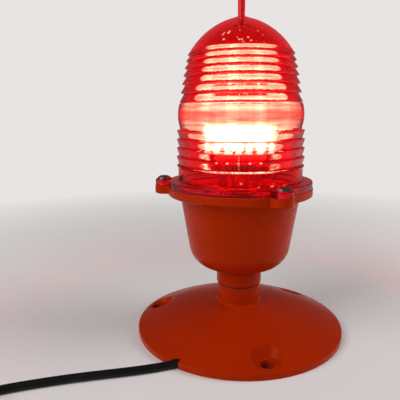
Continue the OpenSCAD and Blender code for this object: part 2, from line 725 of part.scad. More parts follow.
module supply_wires() {
    mouth_x = block_at[0] + block_size[0] - 3;
    wire_z = driver_low - block_size[2] + 4;
    color("firebrick") for (way = [-1, 1]) {
        mouth_y = block_at[1] + 9 + way*4.5;
        tube([[0, way*1.2, cord_inner_top], [-0.4, way*1.4, cord_inner_top + 5], [-2.4, way*2.4, wire_z - 5],
            [-5.6, way*3.6, wire_z - 1.4], [-9, mouth_y - way*0.2, wire_z], [mouth_x, mouth_y, wire_z]],
            wire_r, 8, [0, 1, 0]);
    }
}
module led_wires() {
    color("firebrick") around(2, wire_at, 0) translate([0, 0, driver_low])
        cylinder(h = low_board_z + board_t - driver_low + 1, r = wire_r - 0.05, $fn = 24);
}
earth_at_r = 16;
earth_turn = 200;
earth_r = 2;
module earth_screw() {
    color("silver") rotate([0, 0, earth_turn]) translate([earth_at_r, 0, bowl_floor]) {
        ring(3.6, earth_r, 1, $fn = 32);
        translate([0, 0, 1]) socket_screw(earth_r - fit, 4.6, 3.4, 2.4);
    }
}

// Cable gland
module cable_gland() {
    color([0.2, 0.2, 0.2]) difference() {
        union() {
            translate([0, 0, gland_seat - gland_shoulder_h])
                cylinder(h = gland_shoulder_h, r = gland_hex_r, $fn = 6);
            translate([0, 0, gland_seat - gland_shoulder_h - 5]) cylinder(
                h = gland_floor_t + locknut_h + gland_shoulder_h + 6.5, r = gland_hole_r - fit, $fn = 48);
        }
        translate([0, 0, gland_nut_z]) cylinder(h = 40, r = gland_bore_r, $fn = 48);
    }
}
module gland_seal() {
    color([0.1, 0.1, 0.1]) translate([0, 0, gland_nut_z + 1.2])
        ring(gland_bore_r - fit, cord_r + fit, gland_nut_h + gland_shoulder_h - 1.4, $fn = 48);
}
module gland_nut() {
    color([0.2, 0.2, 0.2]) translate([0, 0, gland_nut_z]) difference() {
        union() {
            translate([0, 0, 2]) cylinder(h = gland_nut_h - 2.1, r = gland_hex_r, $fn = 6);
            cylinder(h = 2.2, r1 = gland_hex_r - 2.4, r2 = gland_hex_r - 1.2, $fn = 48);
        }
        translate([0, 0, 2.8]) cylinder(h = gland_nut_h, r = gland_hole_r, $fn = 48);
        translate([0, 0, 1.1]) cylinder(h = gland_nut_h, r = gland_bore_r, $fn = 48);
        translate([0, 0, -cut]) cylinder(h = gland_nut_h, r = cord_r + 0.2, $fn = 48);
    }
}
module gland_locknut() {
    color([0.2, 0.2, 0.2]) translate([0, 0, bowl_floor]) hex_nut(gland_hex_r, gland_hole_r, locknut_h);
}
module cord_inner() {
    color([0.05, 0.05, 0.05]) translate([0, 0, gland_nut_z])
        cylinder(h = cord_inner_top - gland_nut_z, r = cord_r, $fn = 48);
}

// Lead
module cord() {
    color([0.05, 0.05, 0.05]) tube(free_route, cord_r, 8, heading(slot_heading));
}
module cord_coil() {
    color([0.05, 0.05, 0.05]) tube(coil_route, cord_r, 6, [0, 0, 1]);
}
module cord_tail() {
    color([0.05, 0.05, 0.05]) tube(tail_route, cord_r, 8, [0, 0, 1]);
}
module coil_tie() {
    under_tie = (tie_at - coil_start)/360; // turns of the lead before it first passes the strap
    slack = 0.5;
    inner_r = min([for (k = [0:floor(coil_turns - under_tie)]) coil_radius(under_tie + k)]) - cord_r - slack;
    outer_r = max([for (k = [0:floor(coil_turns - under_tie)]) coil_radius(under_tie + k)]) + cord_r + slack;
    low = tie_t;
    high = coil_z + turn_pitch + cord_r + coil_lift - tie_t;
    color([0.12, 0.12, 0.12]) translate([coil_centre[0], coil_centre[1], 0]) rotate([0, 0, tie_at])
        translate([0, tie_w/2, 0]) rotate([90, 0, 0]) linear_extrude(tie_w) difference() {
            translate([inner_r - tie_t, low - tie_t])
                square([outer_r - inner_r + 2*tie_t, high - low + 2*tie_t]);
            translate([inner_r, low]) square([outer_r - inner_r, high - low]);
        }
}

// Plug on the lead's end, drawn along +X from the lead's last point
relief_l = 24;
grip_l = 18;
grip_w = 16;
nose_l = 14;
nose_r = 3.9;
pole_y = grip_w/4;
module at_connector() {
    translate([connector_at[0], connector_at[1], connector_h/2]) rotate([0, 0, connector_turn]) children();
}
module connector_body() {
    color([0.08, 0.08, 0.08]) at_connector() difference() {
        union() {
            rotate([0, 90, 0])
                cylinder(h = relief_l + 1, r1 = cord_r + 0.4, r2 = connector_h/2 - 0.4, $fn = 48);
            translate([relief_l, -grip_w/2, -connector_h/2]) cube([grip_l, grip_w, connector_h]);
            translate([relief_l + grip_l - 0.1, -pole_y, 0]) rotate([0, 90, 0])
                cylinder(h = nose_l, r = nose_r, $fn = 48);
        }
        for (i = [0:4]) translate([5 + 3.4*i, 0, 0]) rotate([0, 90, 0]) ring(6, cord_r + 0.1 + 0.12*i, 1.2);
        for (i = [0:3], side = [-1, 1])
            translate([relief_l + 3.5 + 3.4*i, side*grip_w/2 - 0.5, -connector_h])
                cube([1.4, 1, 2*connector_h]);
        translate([relief_l + grip_l - 4, -pole_y, 0]) rotate([0, 90, 0])
            cylinder(h = nose_l + 6, r = 2.7, $fn = 32);
        translate([relief_l + grip_l - 4, pole_y, 0]) rotate([0, 90, 0])
            cylinder(h = 6, r = pin_r, $fn = 32);
    }
}
pin_r = 1.75;
module connector_pin() {
    color("goldenrod") at_connector() translate([relief_l + grip_l - 4, pole_y, 0]) rotate([0, 90, 0])
        rotate_extrude($fn = 32) polygon([[0, 0], [pin_r, 0], [pin_r, 15], [pin_r - 0.9, 16.4], [0, 16.4]]);
}
module connector_socket() {
    color("goldenrod") at_connector() translate([relief_l + grip_l - 4, -pole_y, 0]) rotate([0, 90, 0])
        ring(2.7, pin_r + fit, nose_l + 2, $fn = 32);
}

base();
nipple();
neck_seal();
set_screw();
housing();
lens();
lens_gasket();
lens_screws();
lens_washers();
spike_insert();
bird_spike();
chassis_plate();
chassis_screws();
tower_posts();
board_screws();
led_base_board();
led_core();
led_strips();
leds();
led_top_board();
tower_bolt();
photocell();
driver_posts();
driver_board();
driver_parts();
terminal_block();
supply_wires();
led_wires();
earth_screw();
cable_gland();
gland_seal();
gland_nut();
gland_locknut();
cord_inner();
cord();
cord_coil();
coil_tie();
cord_tail();
connector_body();
connector_pin();
connector_socket();
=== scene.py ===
"""Looks of a fixed navigation light: a red prismatic lens over a lamp tower, on a cast bowl and a round base."""
import json
import math

import bmesh
import bpy
import numpy as np
from mathutils import Matrix, Vector
from mathutils.geometry import delaunay_2d_cdt


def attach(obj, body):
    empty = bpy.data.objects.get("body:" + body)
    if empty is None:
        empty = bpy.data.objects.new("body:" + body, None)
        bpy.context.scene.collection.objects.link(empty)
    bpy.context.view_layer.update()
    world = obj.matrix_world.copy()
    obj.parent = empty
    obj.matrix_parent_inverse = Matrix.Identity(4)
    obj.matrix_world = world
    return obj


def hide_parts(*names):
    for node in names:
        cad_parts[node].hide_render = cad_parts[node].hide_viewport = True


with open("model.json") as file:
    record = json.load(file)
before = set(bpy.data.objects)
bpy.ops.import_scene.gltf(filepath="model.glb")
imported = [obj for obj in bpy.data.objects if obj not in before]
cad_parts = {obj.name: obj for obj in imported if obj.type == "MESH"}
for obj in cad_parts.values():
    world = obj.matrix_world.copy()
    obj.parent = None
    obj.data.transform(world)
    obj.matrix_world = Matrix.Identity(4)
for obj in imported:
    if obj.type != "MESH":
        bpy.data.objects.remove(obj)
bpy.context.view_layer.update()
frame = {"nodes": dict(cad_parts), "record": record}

MM = 0.001
scene = bpy.context.scene
scene.view_settings.view_transform = "Standard"

# Sizes that the pieces share, in millimetres and degrees
BASE_R = 90
RIM_H = 5
DOME_RISE = 20.6
COLLAR_R = 18.6
COLLAR_TOP = 41.0
ANCHOR_R = 79
ANCHOR_TURN = 41
BORE_R = 13.25
NECK_R = 19.6
NECK_BOTTOM = 42.15
NECK_TOP = 54.35
BOWL_R = 51
FLANGE_R = 61.2
FLANGE_LOW = 121.25
LENS_SEAT = 128.25
LENS_FLANGE_TOP = 133.55
EAR_R = 8
EAR_AT_R = 65.5
EAR_TURN = 54
SEAM_TURN = 84
LEAD_R = 3.1
LOW_BOARD_TOP = 153.65
TOP_BOARD_TOP = 206.05
LAMP_COLUMNS = 20
LAMP_TURN = 4.5

# The lens's prisms. Each upper one is less tall than the one below it, by this share of the first one's pitch
LOW_PRISMS_FROM = 146.45
LOW_PITCH = 7.28
UP_PRISMS_FROM = 197.67
UP_PITCH = 7.6
UP_SHRINK = 0.07


def add_object(name, data):
    made = bpy.data.objects.new(name, data)
    scene.collection.objects.link(made)
    return made


# Camera, at the photograph's place
def add_camera(place, tilt, roll, lens):
    camera = add_object("camera", bpy.data.cameras.new("camera"))
    camera.data.sensor_width = 36
    camera.data.lens = lens
    camera.data.clip_start = 0.01
    camera.matrix_world = (Matrix.Translation(place) @ Matrix.Rotation(math.radians(90 + tilt), 4, "X")
                           @ Matrix.Rotation(math.radians(roll), 4, "Z"))
    scene.camera = camera


add_camera(place=(-0.0342, -0.382, 0.1895), tilt=-10.96, roll=-0.4, lens=40.5)


# Node trees
class Value:
    """What a node gives, with the usual signs to reckon with it. Brackets reach the node's other outputs."""

    def __init__(self, socket):
        self.socket = socket
        self.tree = socket.id_data

    def __getitem__(self, output):
        return Value(self.socket.node.outputs[output])

    def __add__(self, other):
        return self.maths("ADD", other)

    def __sub__(self, other):
        return self.maths("SUBTRACT", other)

    def __rsub__(self, other):
        return put(self.tree, "ShaderNodeMath", {"operation": "SUBTRACT"}, i0=other, i1=self)

    def __mul__(self, other):
        return self.maths("MULTIPLY", other)

    def __truediv__(self, other):
        return self.maths("DIVIDE", other)

    def __gt__(self, other):
        return self.maths("GREATER_THAN", other)

    def __lt__(self, other):
        return self.maths("LESS_THAN", other)

    def maths(self, operation, *others, kind="ShaderNodeMath"):
        rest = {f"i{number}": other for number, other in enumerate(others, 1)}
        return put(self.tree, kind, {"operation": operation}, i0=self, **rest)

    def vector(self, operation, *others):
        return self.maths(operation, *others, kind="ShaderNodeVectorMath")

    def mapped(self, low, high, to_low=0.0, to_high=1.0):
        """Low to high becomes to_low to to_high, and what lies outside stays at the ends."""
        return put(self.tree, "ShaderNodeMapRange", Value=self, From_Min=low, From_Max=high, To_Min=to_low,
                   To_Max=to_high)


def feed(node, **sockets):
    """Gives inputs of the node a link or a value each. An input is named, or is i and its number."""
    for key, value in sockets.items():
        socket = node.inputs[int(key[1:]) if key[1:].isdigit() else key.replace("_", " ")]
        if isinstance(value, Value):
            node.id_data.links.new(value.socket, socket)
        else:
            socket.default_value = value


def put(tree, kind, settings=None, **sockets):
    """The first output of a new node of that kind."""
    node = tree.nodes.new(kind)
    for key, value in (settings or {}).items():
        setattr(node, key, value)
    feed(node, **sockets)
    return Value(node.outputs[0])


def new_group(name, kind, inputs, outputs):
    """A node group, what it is given and its end node. An input or output has a socket type or a first value."""
    group = bpy.data.node_groups.new(name, kind)
    types = {float: "Float", int: "Int", tuple: "Color", Vector: "Vector"}
    for way, sockets in (("INPUT", inputs), ("OUTPUT", outputs)):
        for label, first in sockets.items():
            named = isinstance(first, str)
            made = group.interface.new_socket(label, in_out=way,
                                              socket_type=f"NodeSocket{first if named else types[type(first)]}")
            if not named:
                made.default_value = first
    return group, Value(group.nodes.new("NodeGroupInput").outputs[0]), group.nodes.new("NodeGroupOutput")


def rgba(*colour):
    return (*colour, 1.0)


def blend(mask, first, second):
    return put(mask.tree, "ShaderNodeMix", i0=mask, i2=first, i3=second)


def blend_colours(mask, first, second):
    return put(mask.tree, "ShaderNodeMix", {"data_type": "RGBA"}, i0=mask, i6=first, i7=second)[2]


def object_place(tree):
    return put(tree, "ShaderNodeTexCoord")["Object"]


def noise(place, scale, detail=2.0, roughness=0.5):
    return put(place.tree, "ShaderNodeTexNoise", Vector=place, Scale=scale, Detail=detail, Roughness=roughness)


def ramp(value, *stops):
    """A value that runs through the (place, level) stops."""
    low, high = stops[0][0], stops[-1][0]
    made = put(value.tree, "ShaderNodeValToRGB", i0=value.mapped(low, high))
    points = made.socket.node.color_ramp.elements
    while len(points) < len(stops):
        points.new(0.5)
    for point, (place, level) in zip(points, stops):
        point.position = (place - low)/(high - low)
        point.color = rgba(level, level, level)
    return made


def make_rubbed_group():
    """Uneven colour with rubbed edges."""
    tree, given, end = new_group(
        "rubbed colour", "ShaderNodeTree",
        {"Colour": rgba(0.5, 0.5, 0.5), "Shade": rgba(0.4, 0.4, 0.4), "Edge": rgba(0.7, 0.7, 0.7),
         "Patch Scale": 60.0, "Edge Share": 0.4},
        {"Colour": "Color"})
    place = object_place(tree)
    patch = noise(place, given["Patch Scale"], 4.0, 0.55).mapped(0.35, 0.7)
    body = blend_colours(patch, given["Colour"], given["Shade"])
    corner = put(tree, "ShaderNodeNewGeometry")["Pointiness"].mapped(0.56, 0.66)
    broken = noise(place, 420.0, 3.0, 0.6).mapped(0.4, 0.62)
    feed(end, Colour=blend_colours(corner*broken*given["Edge Share"], body, given["Edge"]))
    return tree


def make_skin_group():
    """The fine grain and soft waves of a cast, moulded or painted skin, with smudges in its gloss."""
    tree, given, end = new_group(
        "skin", "ShaderNodeTree",
        {"Grain Scale": 900.0, "Wave Scale": 120.0, "Wave Share": 0.5, "Rough Low": 0.25, "Rough High": 0.4,
         "Smudge Scale": 35.0},
        {"Height": "Float", "Roughness": "Float"})
    place = object_place(tree)
    height = noise(place, given["Wave Scale"], 1.0)*given["Wave Share"] + noise(place, given["Grain Scale"])
    smudge = noise(place, given["Smudge Scale"], 5.0, 0.6)
    feed(end, Height=height, Roughness=smudge.mapped(0.35, 0.65, given["Rough Low"], given["Rough High"]))
    return tree


def make_brushed_group():
    """The fine lines that a lathe or a mill leaves."""
    tree, given, end = new_group(
        "brushed lines", "ShaderNodeTree",
        {"Stretch": Vector((1.0, 1.0, 0.02)), "Line Scale": 3000.0, "Rough Low": 0.2, "Rough High": 0.4},
        {"Height": "Float", "Roughness": "Float"})
    lines = noise(object_place(tree).vector("MULTIPLY", given["Stretch"]), given["Line Scale"], 2.0, 0.6)
    feed(end, Height=lines, Roughness=lines.mapped(0.3, 0.7, given["Rough Low"], given["Rough High"]))
    return tree


def make_painted_prism_light():
    """The lamps' light in the prisms, painted on the lens as glow: how pale it is, how much painted red glow the
    plastic shows, and the painted shade where the prisms show the dark board under the lamps."""
    tree, given, end = new_group("painted prism light", "ShaderNodeTree", {"Facing": 0.0},
                                 {"Glow": "Float", "Red": "Float", "Shade": "Float"})
    coordinates = put(tree, "ShaderNodeTexCoord")
    place = coordinates["Object"]
    x, y, z = put(tree, "ShaderNodeSeparateXYZ", i0=place)
    height = z*(1/MM)
    slope = put(tree, "ShaderNodeSeparateXYZ", i0=coordinates["Normal"])[2]
    on_slope = (slope - 0.08).maths("ABSOLUTE").mapped(0.74, 0.64)

    # How squarely the wall stands to the eye, from 0 at the outline to 1 in the middle, and more up the dome
    upright = (1.0 - slope*slope).maths("SQRT")
    turned = (1.0 - given["Facing"])/upright.maths("MAXIMUM", 0.2) + height.mapped(198, 238, 0.0, 0.09)

    # Waves round the lens, one for each column of lamps and one for wider patches
    angle = y.maths("ARCTAN2", x)

    def waves(count, turn):
        return (angle*count + math.radians(count*turn)).maths("COSINE")

    wave = waves(40, -11.8)
    broad = waves(15, 78.2)
    ragged = noise(place, 260.0, 2.0, 0.6)
    upright_streak = noise(place.vector("MULTIPLY", (1.0, 1.0, 0.2)), 330.0, 2.0, 0.6)
    streak = noise(place.vector("MULTIPLY", (0.3, 0.3, 3.2)), 170.0, 4.0, 0.65).mapped(0.34, 0.62, 0.5, 1.15)
    column = wave.mapped(0.6, 1.0, 0.98, 1.1)*broad.mapped(0.0, 1.0, 0.88, 1.25)*turned.mapped(0.68, 1.0, 0.72, 1.3)

    # How far up its own prism a point lies, from 0 at the lower edge to 1 at the upper one
    steps = (height - UP_PRISMS_FROM)/UP_PITCH
    root = (steps*(-2*UP_SHRINK) + (1 + UP_SHRINK/2)**2).maths("MAXIMUM", 0.0).maths("SQRT")
    upper = ((1 + UP_SHRINK/2) - root)/UP_SHRINK
    lower = (height - LOW_PRISMS_FROM)/LOW_PITCH
    is_upper = height > 197.5
    is_belt = (height > 177.6)*(1.0 - is_upper)
    share = blend(is_upper, lower, upper).maths("FRACT")
    frayed = share + ragged.mapped(0.3, 0.7, -0.06, 0.06)

    # Painted light: pale bars on the prisms and rings on the belt, cut by dark rings between the upper prisms
    bar = ramp(frayed, (0, 0), (0.08, 0.04), (0.15, 1), (0.28, 0.66), (0.52, 0.6), (0.66, 1), (0.74, 0.12), (1, 0))
    belt = ramp(height, (177.6, 0.9), (180, 0.4), (181.8, 0.8), (184, 0.35), (190, 0.3), (192.5, 0.9), (194.5, 0.5),
                (196.5, 1))
    gaps = ramp(height, (195.2, 0), (195.6, 0.7), (196.2, 0.7), (196.6, 0), (197.2, 0.8), (198.6, 0.8), (199, 0),
                (201.2, 0), (201.6, 1), (203.2, 1), (203.6, 0), (208.5, 0), (208.9, 0.9), (210, 0.9), (210.4, 0))
    gaps = gaps*(ragged*0.08 + turned).mapped(0.90, 0.94)*ragged.mapped(0.36, 0.46, 0.35, 1.0)
    zone = ramp(height, (144.5, 0), (147.5, 0.35), (158, 0.5), (161.5, 0.45), (178, 0.75), (180.5, 0.62), (190, 0.56),
                (196, 0.72), (198, 0.72), (234, 0.62), (238.5, 0.5), (239.5, 0))

    # The middle of the lens, where the painted light shows, narrower at a prism's edges and hollow and speckled low
    # down
    wider = ramp(height, (162, 0), (169.5, 0.03), (170.5, 0.18), (177.5, 0.24), (178, 0), (197, 0), (197.8, 0.10),
                 (212.5, 0.08), (213.5, 0.02), (230, 0))
    ends = (share - 0.42).maths("ABSOLUTE").maths("POWER", 3.0)*(1.0 - is_belt)
    centre = (wider + (ends*-2.0 + turned)).mapped(0.70, 0.745)
    centre = blend(is_belt, centre, turned.mapped(0.25, 0.6))
    low = height < 159
    centre = centre*(1.0 - turned.mapped(0.79, 0.84)*low)
    speckled = low*ragged.mapped(0.42, 0.56, -0.7, 0.9) + 1.0
    glow = on_slope*centre*speckled*zone*blend(is_belt, bar, belt)*streak*column*(1.0 - gaps)

    # Painted light: the bright core in front of the lamps, with drops under it and a bright ring low on the skirt
    combed = wave*0.12 + upright_streak
    core = ramp(height, (164, 0), (164.6, 1), (166.8, 1), (168, 0.1), (169, 1), (177.5, 1), (182, 0))
    core = core*((height < 168)*combed.mapped(0.36, 0.58, -0.62, 0.0) + 1.0)
    drops = ramp(height, (159, 0), (160.6, 0.8), (164, 1), (165, 0))*combed.mapped(0.36, 0.58)
    core = core.maths("MAXIMUM", drops)*(ragged*0.10 + turned).mapped(0.83, 0.90)
    low_ring = ramp(height, (144.7, 0), (145.1, 1.3), (146.1, 1.3), (146.5, 0))*turned.mapped(0.70, 0.76)
    core = (core*2.6 + low_ring*upright_streak.mapped(0.40, 0.60, 0.3, 1.4))*on_slope*column

    # Painted glints on skirt and crown, and a row of painted bright dots on the lowest prism
    cells = put(tree, "ShaderNodeTexVoronoi", Vector=place, Scale=230.0)
    sparks = ramp(height, (134.2, 0), (134.6, 0.5), (138.5, 0.5), (139, 0), (239.2, 0), (240.2, 1), (248.5, 1),
                  (250, 0))
    sparks = sparks*cells["Distance"].mapped(0.26, 0.14)*turned.mapped(0.80, 0.86)*ragged.mapped(0.38, 0.5)
    row = ramp(height, (151.9, 0), (152.3, 1), (153, 1), (153.4, 0))*wave.mapped(0.75, 0.92)*turned.mapped(0.86, 0.9)

    # Painted shade where the prisms show the dark board under the lamps
    shade = ramp(height, (146.2, 0), (146.8, 1), (158.5, 1), (159.2, 0))*(ragged*0.06 + turned).mapped(0.86, 0.91)
    # Painted red glow up the lens, strongest on the prisms
    red = ramp(height, (130, 0.03), (133.5, 0.03), (135, 0.04), (144, 0.06), (150, 0.25), (235, 0.31), (242, 0.06),
               (264, 0.05))
    # A painted dark line and light band just inside the crown's outline, and a painted red glow on the flange's top
    painted_crown_rim = ramp(given["Facing"], (0.56, 0), (0.64, -0.04), (0.68, -0.04), (0.71, 0.12), (0.94, 0.20))*(height > 237)
    lid = ramp(height, (130, 0), (130.4, 0.16), (134.5, 0.16), (134.9, 0))*(slope > 0.8)
    feed(end, Glow=glow*2.4 + (core + (sparks*0.9 + row*1.1)), Shade=shade, Red=red + (painted_crown_rim + lid))
    return tree


GROUPS = {"rubbed": make_rubbed_group(), "skin": make_skin_group(), "brushed": make_brushed_group(),
          "painted prism light": make_painted_prism_light()}


def use_group(tree, name, **values):
    return put(tree, "ShaderNodeGroup", {"node_tree": GROUPS[name]}, **values)


def new_material(name):
    material = bpy.data.materials.new(name)
    material.use_nodes = True
    tree = material.node_tree
    return material, tree, tree.nodes["Principled BSDF"]


def rub(shader, colour, shade, edge, patch, edge_share):
    """Sets the shader's colour, in patches of a second shade and rubbed at the edges."""
    rubbed = use_group(shader.id_data, "rubbed", Colour=rgba(*colour), Shade=rgba(*shade), Edge=rgba(*edge),
                       Patch_Scale=patch, Edge_Share=edge_share)
    feed(shader, Base_Color=rubbed)


def texture(shader, group, rough, strength, depth, **values):
    """Sets the shader's roughness and bump by the skin or the brushed lines."""
    skin = use_group(shader.id_data, group, Rough_Low=rough[0], Rough_High=rough[1], **values)
    raised = put(shader.id_data, "ShaderNodeBump", Strength=strength, Distance=depth, Height=skin["Height"])
    feed(shader, Roughness=skin["Roughness"], Normal=raised)


def finish(name, colour, shade, edge, edge_share=0.4, patch=60.0, rough=(0.3, 0.45), grain=900.0, wave=120.0,
           wave_share=0.5, bump=0.1, bump_depth=0.0002, **plain):
    """A material whose colour, roughness and skin change over the piece. What is plain is set on the shader."""
    material, _, shader = new_material(name)
    rub(shader, colour, shade, edge, patch, edge_share)
    texture(shader, "skin", rough, bump, bump_depth, Grain_Scale=grain, Wave_Scale=wave, Wave_Share=wave_share)
    feed(shader, **plain)
    return material


def metal(name, colour, edge, stretch, rough):
    """A bare metal with the lines that its tool or mill left."""
    material, _, shader = new_material(name)
    rub(shader, colour, [0.8*c for c in colour], edge, 90.0, 0.5)
    texture(shader, "brushed", rough, 0.12, 0.00005, Stretch=stretch)
    feed(shader, Metallic=1.0)
    return material


def set_surface(tree, mask, first, second):
    """The material shows the second shader where the mask is 1."""
    which = put(tree, "ShaderNodeMixShader", i0=mask, i1=first, i2=second)
    feed(tree.nodes["Material Output"], Surface=which)


def make_lens_material():
    """Clear red plastic, with the lamps' light in its prisms painted on as a glow that only the camera sees, and
    painted shade where the prisms show the board. Lamp light passes straight through it in shadow rays, tinted.
    """
    material, tree, shader = new_material("clear red plastic")
    texture(shader, "skin", (0.015, 0.05), 0.05, 0.0002, Grain_Scale=700.0, Wave_Scale=90.0, Wave_Share=1.0,
            Smudge_Scale=28.0)
    tint = blend_colours(noise(object_place(tree), 26.0, 3.0), rgba(0.80, 0.006, 0.009), rgba(0.76, 0.005, 0.008))
    path = put(tree, "ShaderNodeLightPath")
    light = use_group(tree, "painted prism light", Facing=put(tree, "ShaderNodeLayerWeight", Blend=0.5)["Facing"])
    # Painted shade where the prisms show the board, for the camera only
    dark = light["Shade"]*path["Is Camera Ray"]
    # The painted glow, pale and red, shown to the camera as emission
    pale = put(tree, "ShaderNodeVectorMath", {"operation": "SCALE"}, i0=(1.0, 0.62, 0.38), Scale=light["Glow"])
    red = put(tree, "ShaderNodeVectorMath", {"operation": "SCALE"}, i0=(1.0, 0.004, 0.012),
              Scale=light["Red"]*(dark*-0.35 + 1.0))
    # The red specular tint is a painted reflection colour that stands in for red light around the lens
    feed(shader, Base_Color=blend_colours(dark, tint, rgba(0.30, 0.0004, 0.0004)), IOR=1.49,
         Specular_IOR_Level=0.25, Specular_Tint=rgba(1.0, 0.22, 0.3), Transmission_Weight=1.0,
         Emission_Color=pale.vector("ADD", red), Emission_Strength=path["Is Camera Ray"])
    clear = put(tree, "ShaderNodeBsdfTransparent", Color=rgba(0.97, 0.10, 0.08))
    set_surface(tree, path["Is Shadow Ray"], Value(shader.outputs[0]), clear)
    return material


def make_lamp_material():
    """Clear lamp body, brightest at the tip of its dome, and brighter in some rows than in others."""
    material, tree, shader = new_material("lit lamp")
    place = object_place(tree)
    tip = place.vector("MULTIPLY", (1.0, 1.0, 0.0)).vector("LENGTH")["Value"].mapped(0.0172, 0.0212)
    height = put(tree, "ShaderNodeSeparateXYZ", i0=place)[2]*(1/MM)
    level = ramp(height, (155, 0.08), (164, 0.08), (167, 0.7), (182, 0.7), (186, 0.05), (200, 0.05), (204, 1), (208, 1))
    skin = use_group(tree, "skin", Rough_Low=0.06, Rough_High=0.14)
    feed(shader, Base_Color=blend_colours(tip, rgba(0.9, 0.85, 0.75), rgba(1.0, 0.95, 0.88)),
         Roughness=skin["Roughness"], Emission_Strength=level*110.0,
         Emission_Color=blend_colours(tip, rgba(0.30, 0.15, 0.05), rgba(1.0, 0.95, 0.58)))
    return material


# Every material, by the name of its finish
FINISHES = {
    # The paint's orange-red specular tint is a painted reflection colour that stands in for red light around the object
    "orange_paint": finish(
        "gloss orange paint", (0.44, 0.022, 0.0008), (0.40, 0.020, 0.0007), (0.60, 0.09, 0.006), 0.35, patch=22.0,
        rough=(0.24, 0.34), grain=420.0, wave=95.0, wave_share=1.4, bump=0.045, bump_depth=0.00035,
        Specular_IOR_Level=0.14, Specular_Tint=rgba(1.0, 0.4, 0.12)),
    "red_lens": make_lens_material(),
    "lamp_glow": make_lamp_material(),
    "red_rod": finish(
        "thin red coat on steel", (0.80, 0.008, 0.022), (0.72, 0.006, 0.018), (0.7, 0.2, 0.2), patch=140.0,
        rough=(0.26, 0.38), Specular_IOR_Level=0.3),
    "dark_steel": metal("dull screw steel", (0.24, 0.2, 0.215), (0.6, 0.55, 0.55), (1.0, 1.0, 0.05), (0.22, 0.4)),
    "zinc_steel": metal("zinc plate", (0.55, 0.55, 0.52), (0.75, 0.74, 0.72), (1.0, 1.0, 0.05), (0.25, 0.42)),
    "brass": metal("turned brass", (0.78, 0.55, 0.2), (0.92, 0.76, 0.42), (1.0, 1.0, 0.03), (0.18, 0.32)),
    "aluminium": metal("mill aluminium", (0.78, 0.78, 0.78), (0.9, 0.9, 0.9), (0.03, 1.0, 1.0), (0.25, 0.4)),
    "white_board": finish(
        "white board lacquer", (0.85, 0.84, 0.8), (0.78, 0.77, 0.72), (0.66, 0.6, 0.42), 0.5, patch=240.0,
        rough=(0.3, 0.42), grain=2400.0, bump=0.08, bump_depth=0.0001),
    "green_board": finish(
        "green board lacquer", (0.02, 0.14, 0.05), (0.015, 0.1, 0.035), (0.4, 0.42, 0.2), 0.6, patch=300.0,
        rough=(0.28, 0.4), grain=2400.0, bump=0.08, bump_depth=0.0001),
    "photocell_face": finish(
        "sensor under lacquer", (0.45, 0.1, 0.05), (0.28, 0.07, 0.04), (0.7, 0.4, 0.2), 0.3, patch=1600.0,
        rough=(0.12, 0.2), Coat_Weight=0.8, Coat_Roughness=0.05),
    "green_plastic": finish(
        "green moulding", (0.02, 0.16, 0.07), (0.015, 0.13, 0.055), (0.1, 0.3, 0.17), rough=(0.4, 0.55),
        grain=1800.0, bump=0.15),
    "black_plastic": finish(
        "black nylon", (0.018, 0.018, 0.019), (0.013, 0.013, 0.014), (0.07, 0.07, 0.07), 0.5, rough=(0.38, 0.52),
        grain=1800.0, bump=0.18),
    "black_rubber": finish(
        "black seal rubber", (0.014, 0.014, 0.014), (0.02, 0.02, 0.02), (0.05, 0.05, 0.05), rough=(0.6, 0.8),
        grain=2200.0, bump=0.25),
    "cable_sheath": finish(
        "matt cable sheath", (0.004, 0.0036, 0.0036), (0.007, 0.0066, 0.0066), (0.03, 0.03, 0.03), 0.3, patch=45.0,
        rough=(0.42, 0.6), grain=2600.0, wave=300.0, wave_share=0.8, bump=0.22, Specular_IOR_Level=0.2),
    "red_wire": finish("red insulation", (0.42, 0.02, 0.015), (0.34, 0.015, 0.012), (0.6, 0.1, 0.08), 0.3),
    "tie_strap": finish(
        "woven strap", (0.02, 0.02, 0.021), (0.032, 0.032, 0.033), (0.08, 0.08, 0.08), patch=700.0,
        rough=(0.75, 0.95), grain=3000.0, wave=1500.0, wave_share=1.0, bump=0.7, bump_depth=0.0003),
    "plug_rubber": finish(
        "moulded plug rubber", (0.015, 0.015, 0.016), (0.021, 0.021, 0.022), (0.06, 0.06, 0.06), 0.5,
        rough=(0.45, 0.62), grain=2000.0, bump=0.2),
}


SLOTS = {part["node"]: part["material_slot"] for part in frame["record"]["subparts"]}
for node_name, node in frame["nodes"].items():
    node.data.materials.clear()
    node.data.materials.append(FINISHES[SLOTS[node_name]])


# Mesh helpers
def mesh_of(name, points, faces):
    """A mesh from points in millimetres."""
    mesh = bpy.data.meshes.new(name)
    mesh.from_pydata([tuple(MM*x for x in p) for p in points], [], faces)
    mesh.update()
    return mesh


def settled(made):
    """The object with its modifiers taken into its mesh."""
    shape = made.evaluated_get(bpy.context.evaluated_depsgraph_get())
    mesh = bpy.data.meshes.new_from_object(shape)
    made.modifiers.clear()
    made.data = mesh
    return made


def even_shading(made, angle=32):
    """Smooth faces with sharp edges past the angle, and normals that keep the flat faces flat."""
    made.data.shade_smooth()
    made.data.set_sharp_from_angle(angle=math.radians(angle))
    made.modifiers.new("flats", "WEIGHTED_NORMAL").keep_sharp = True
    return settled(made)


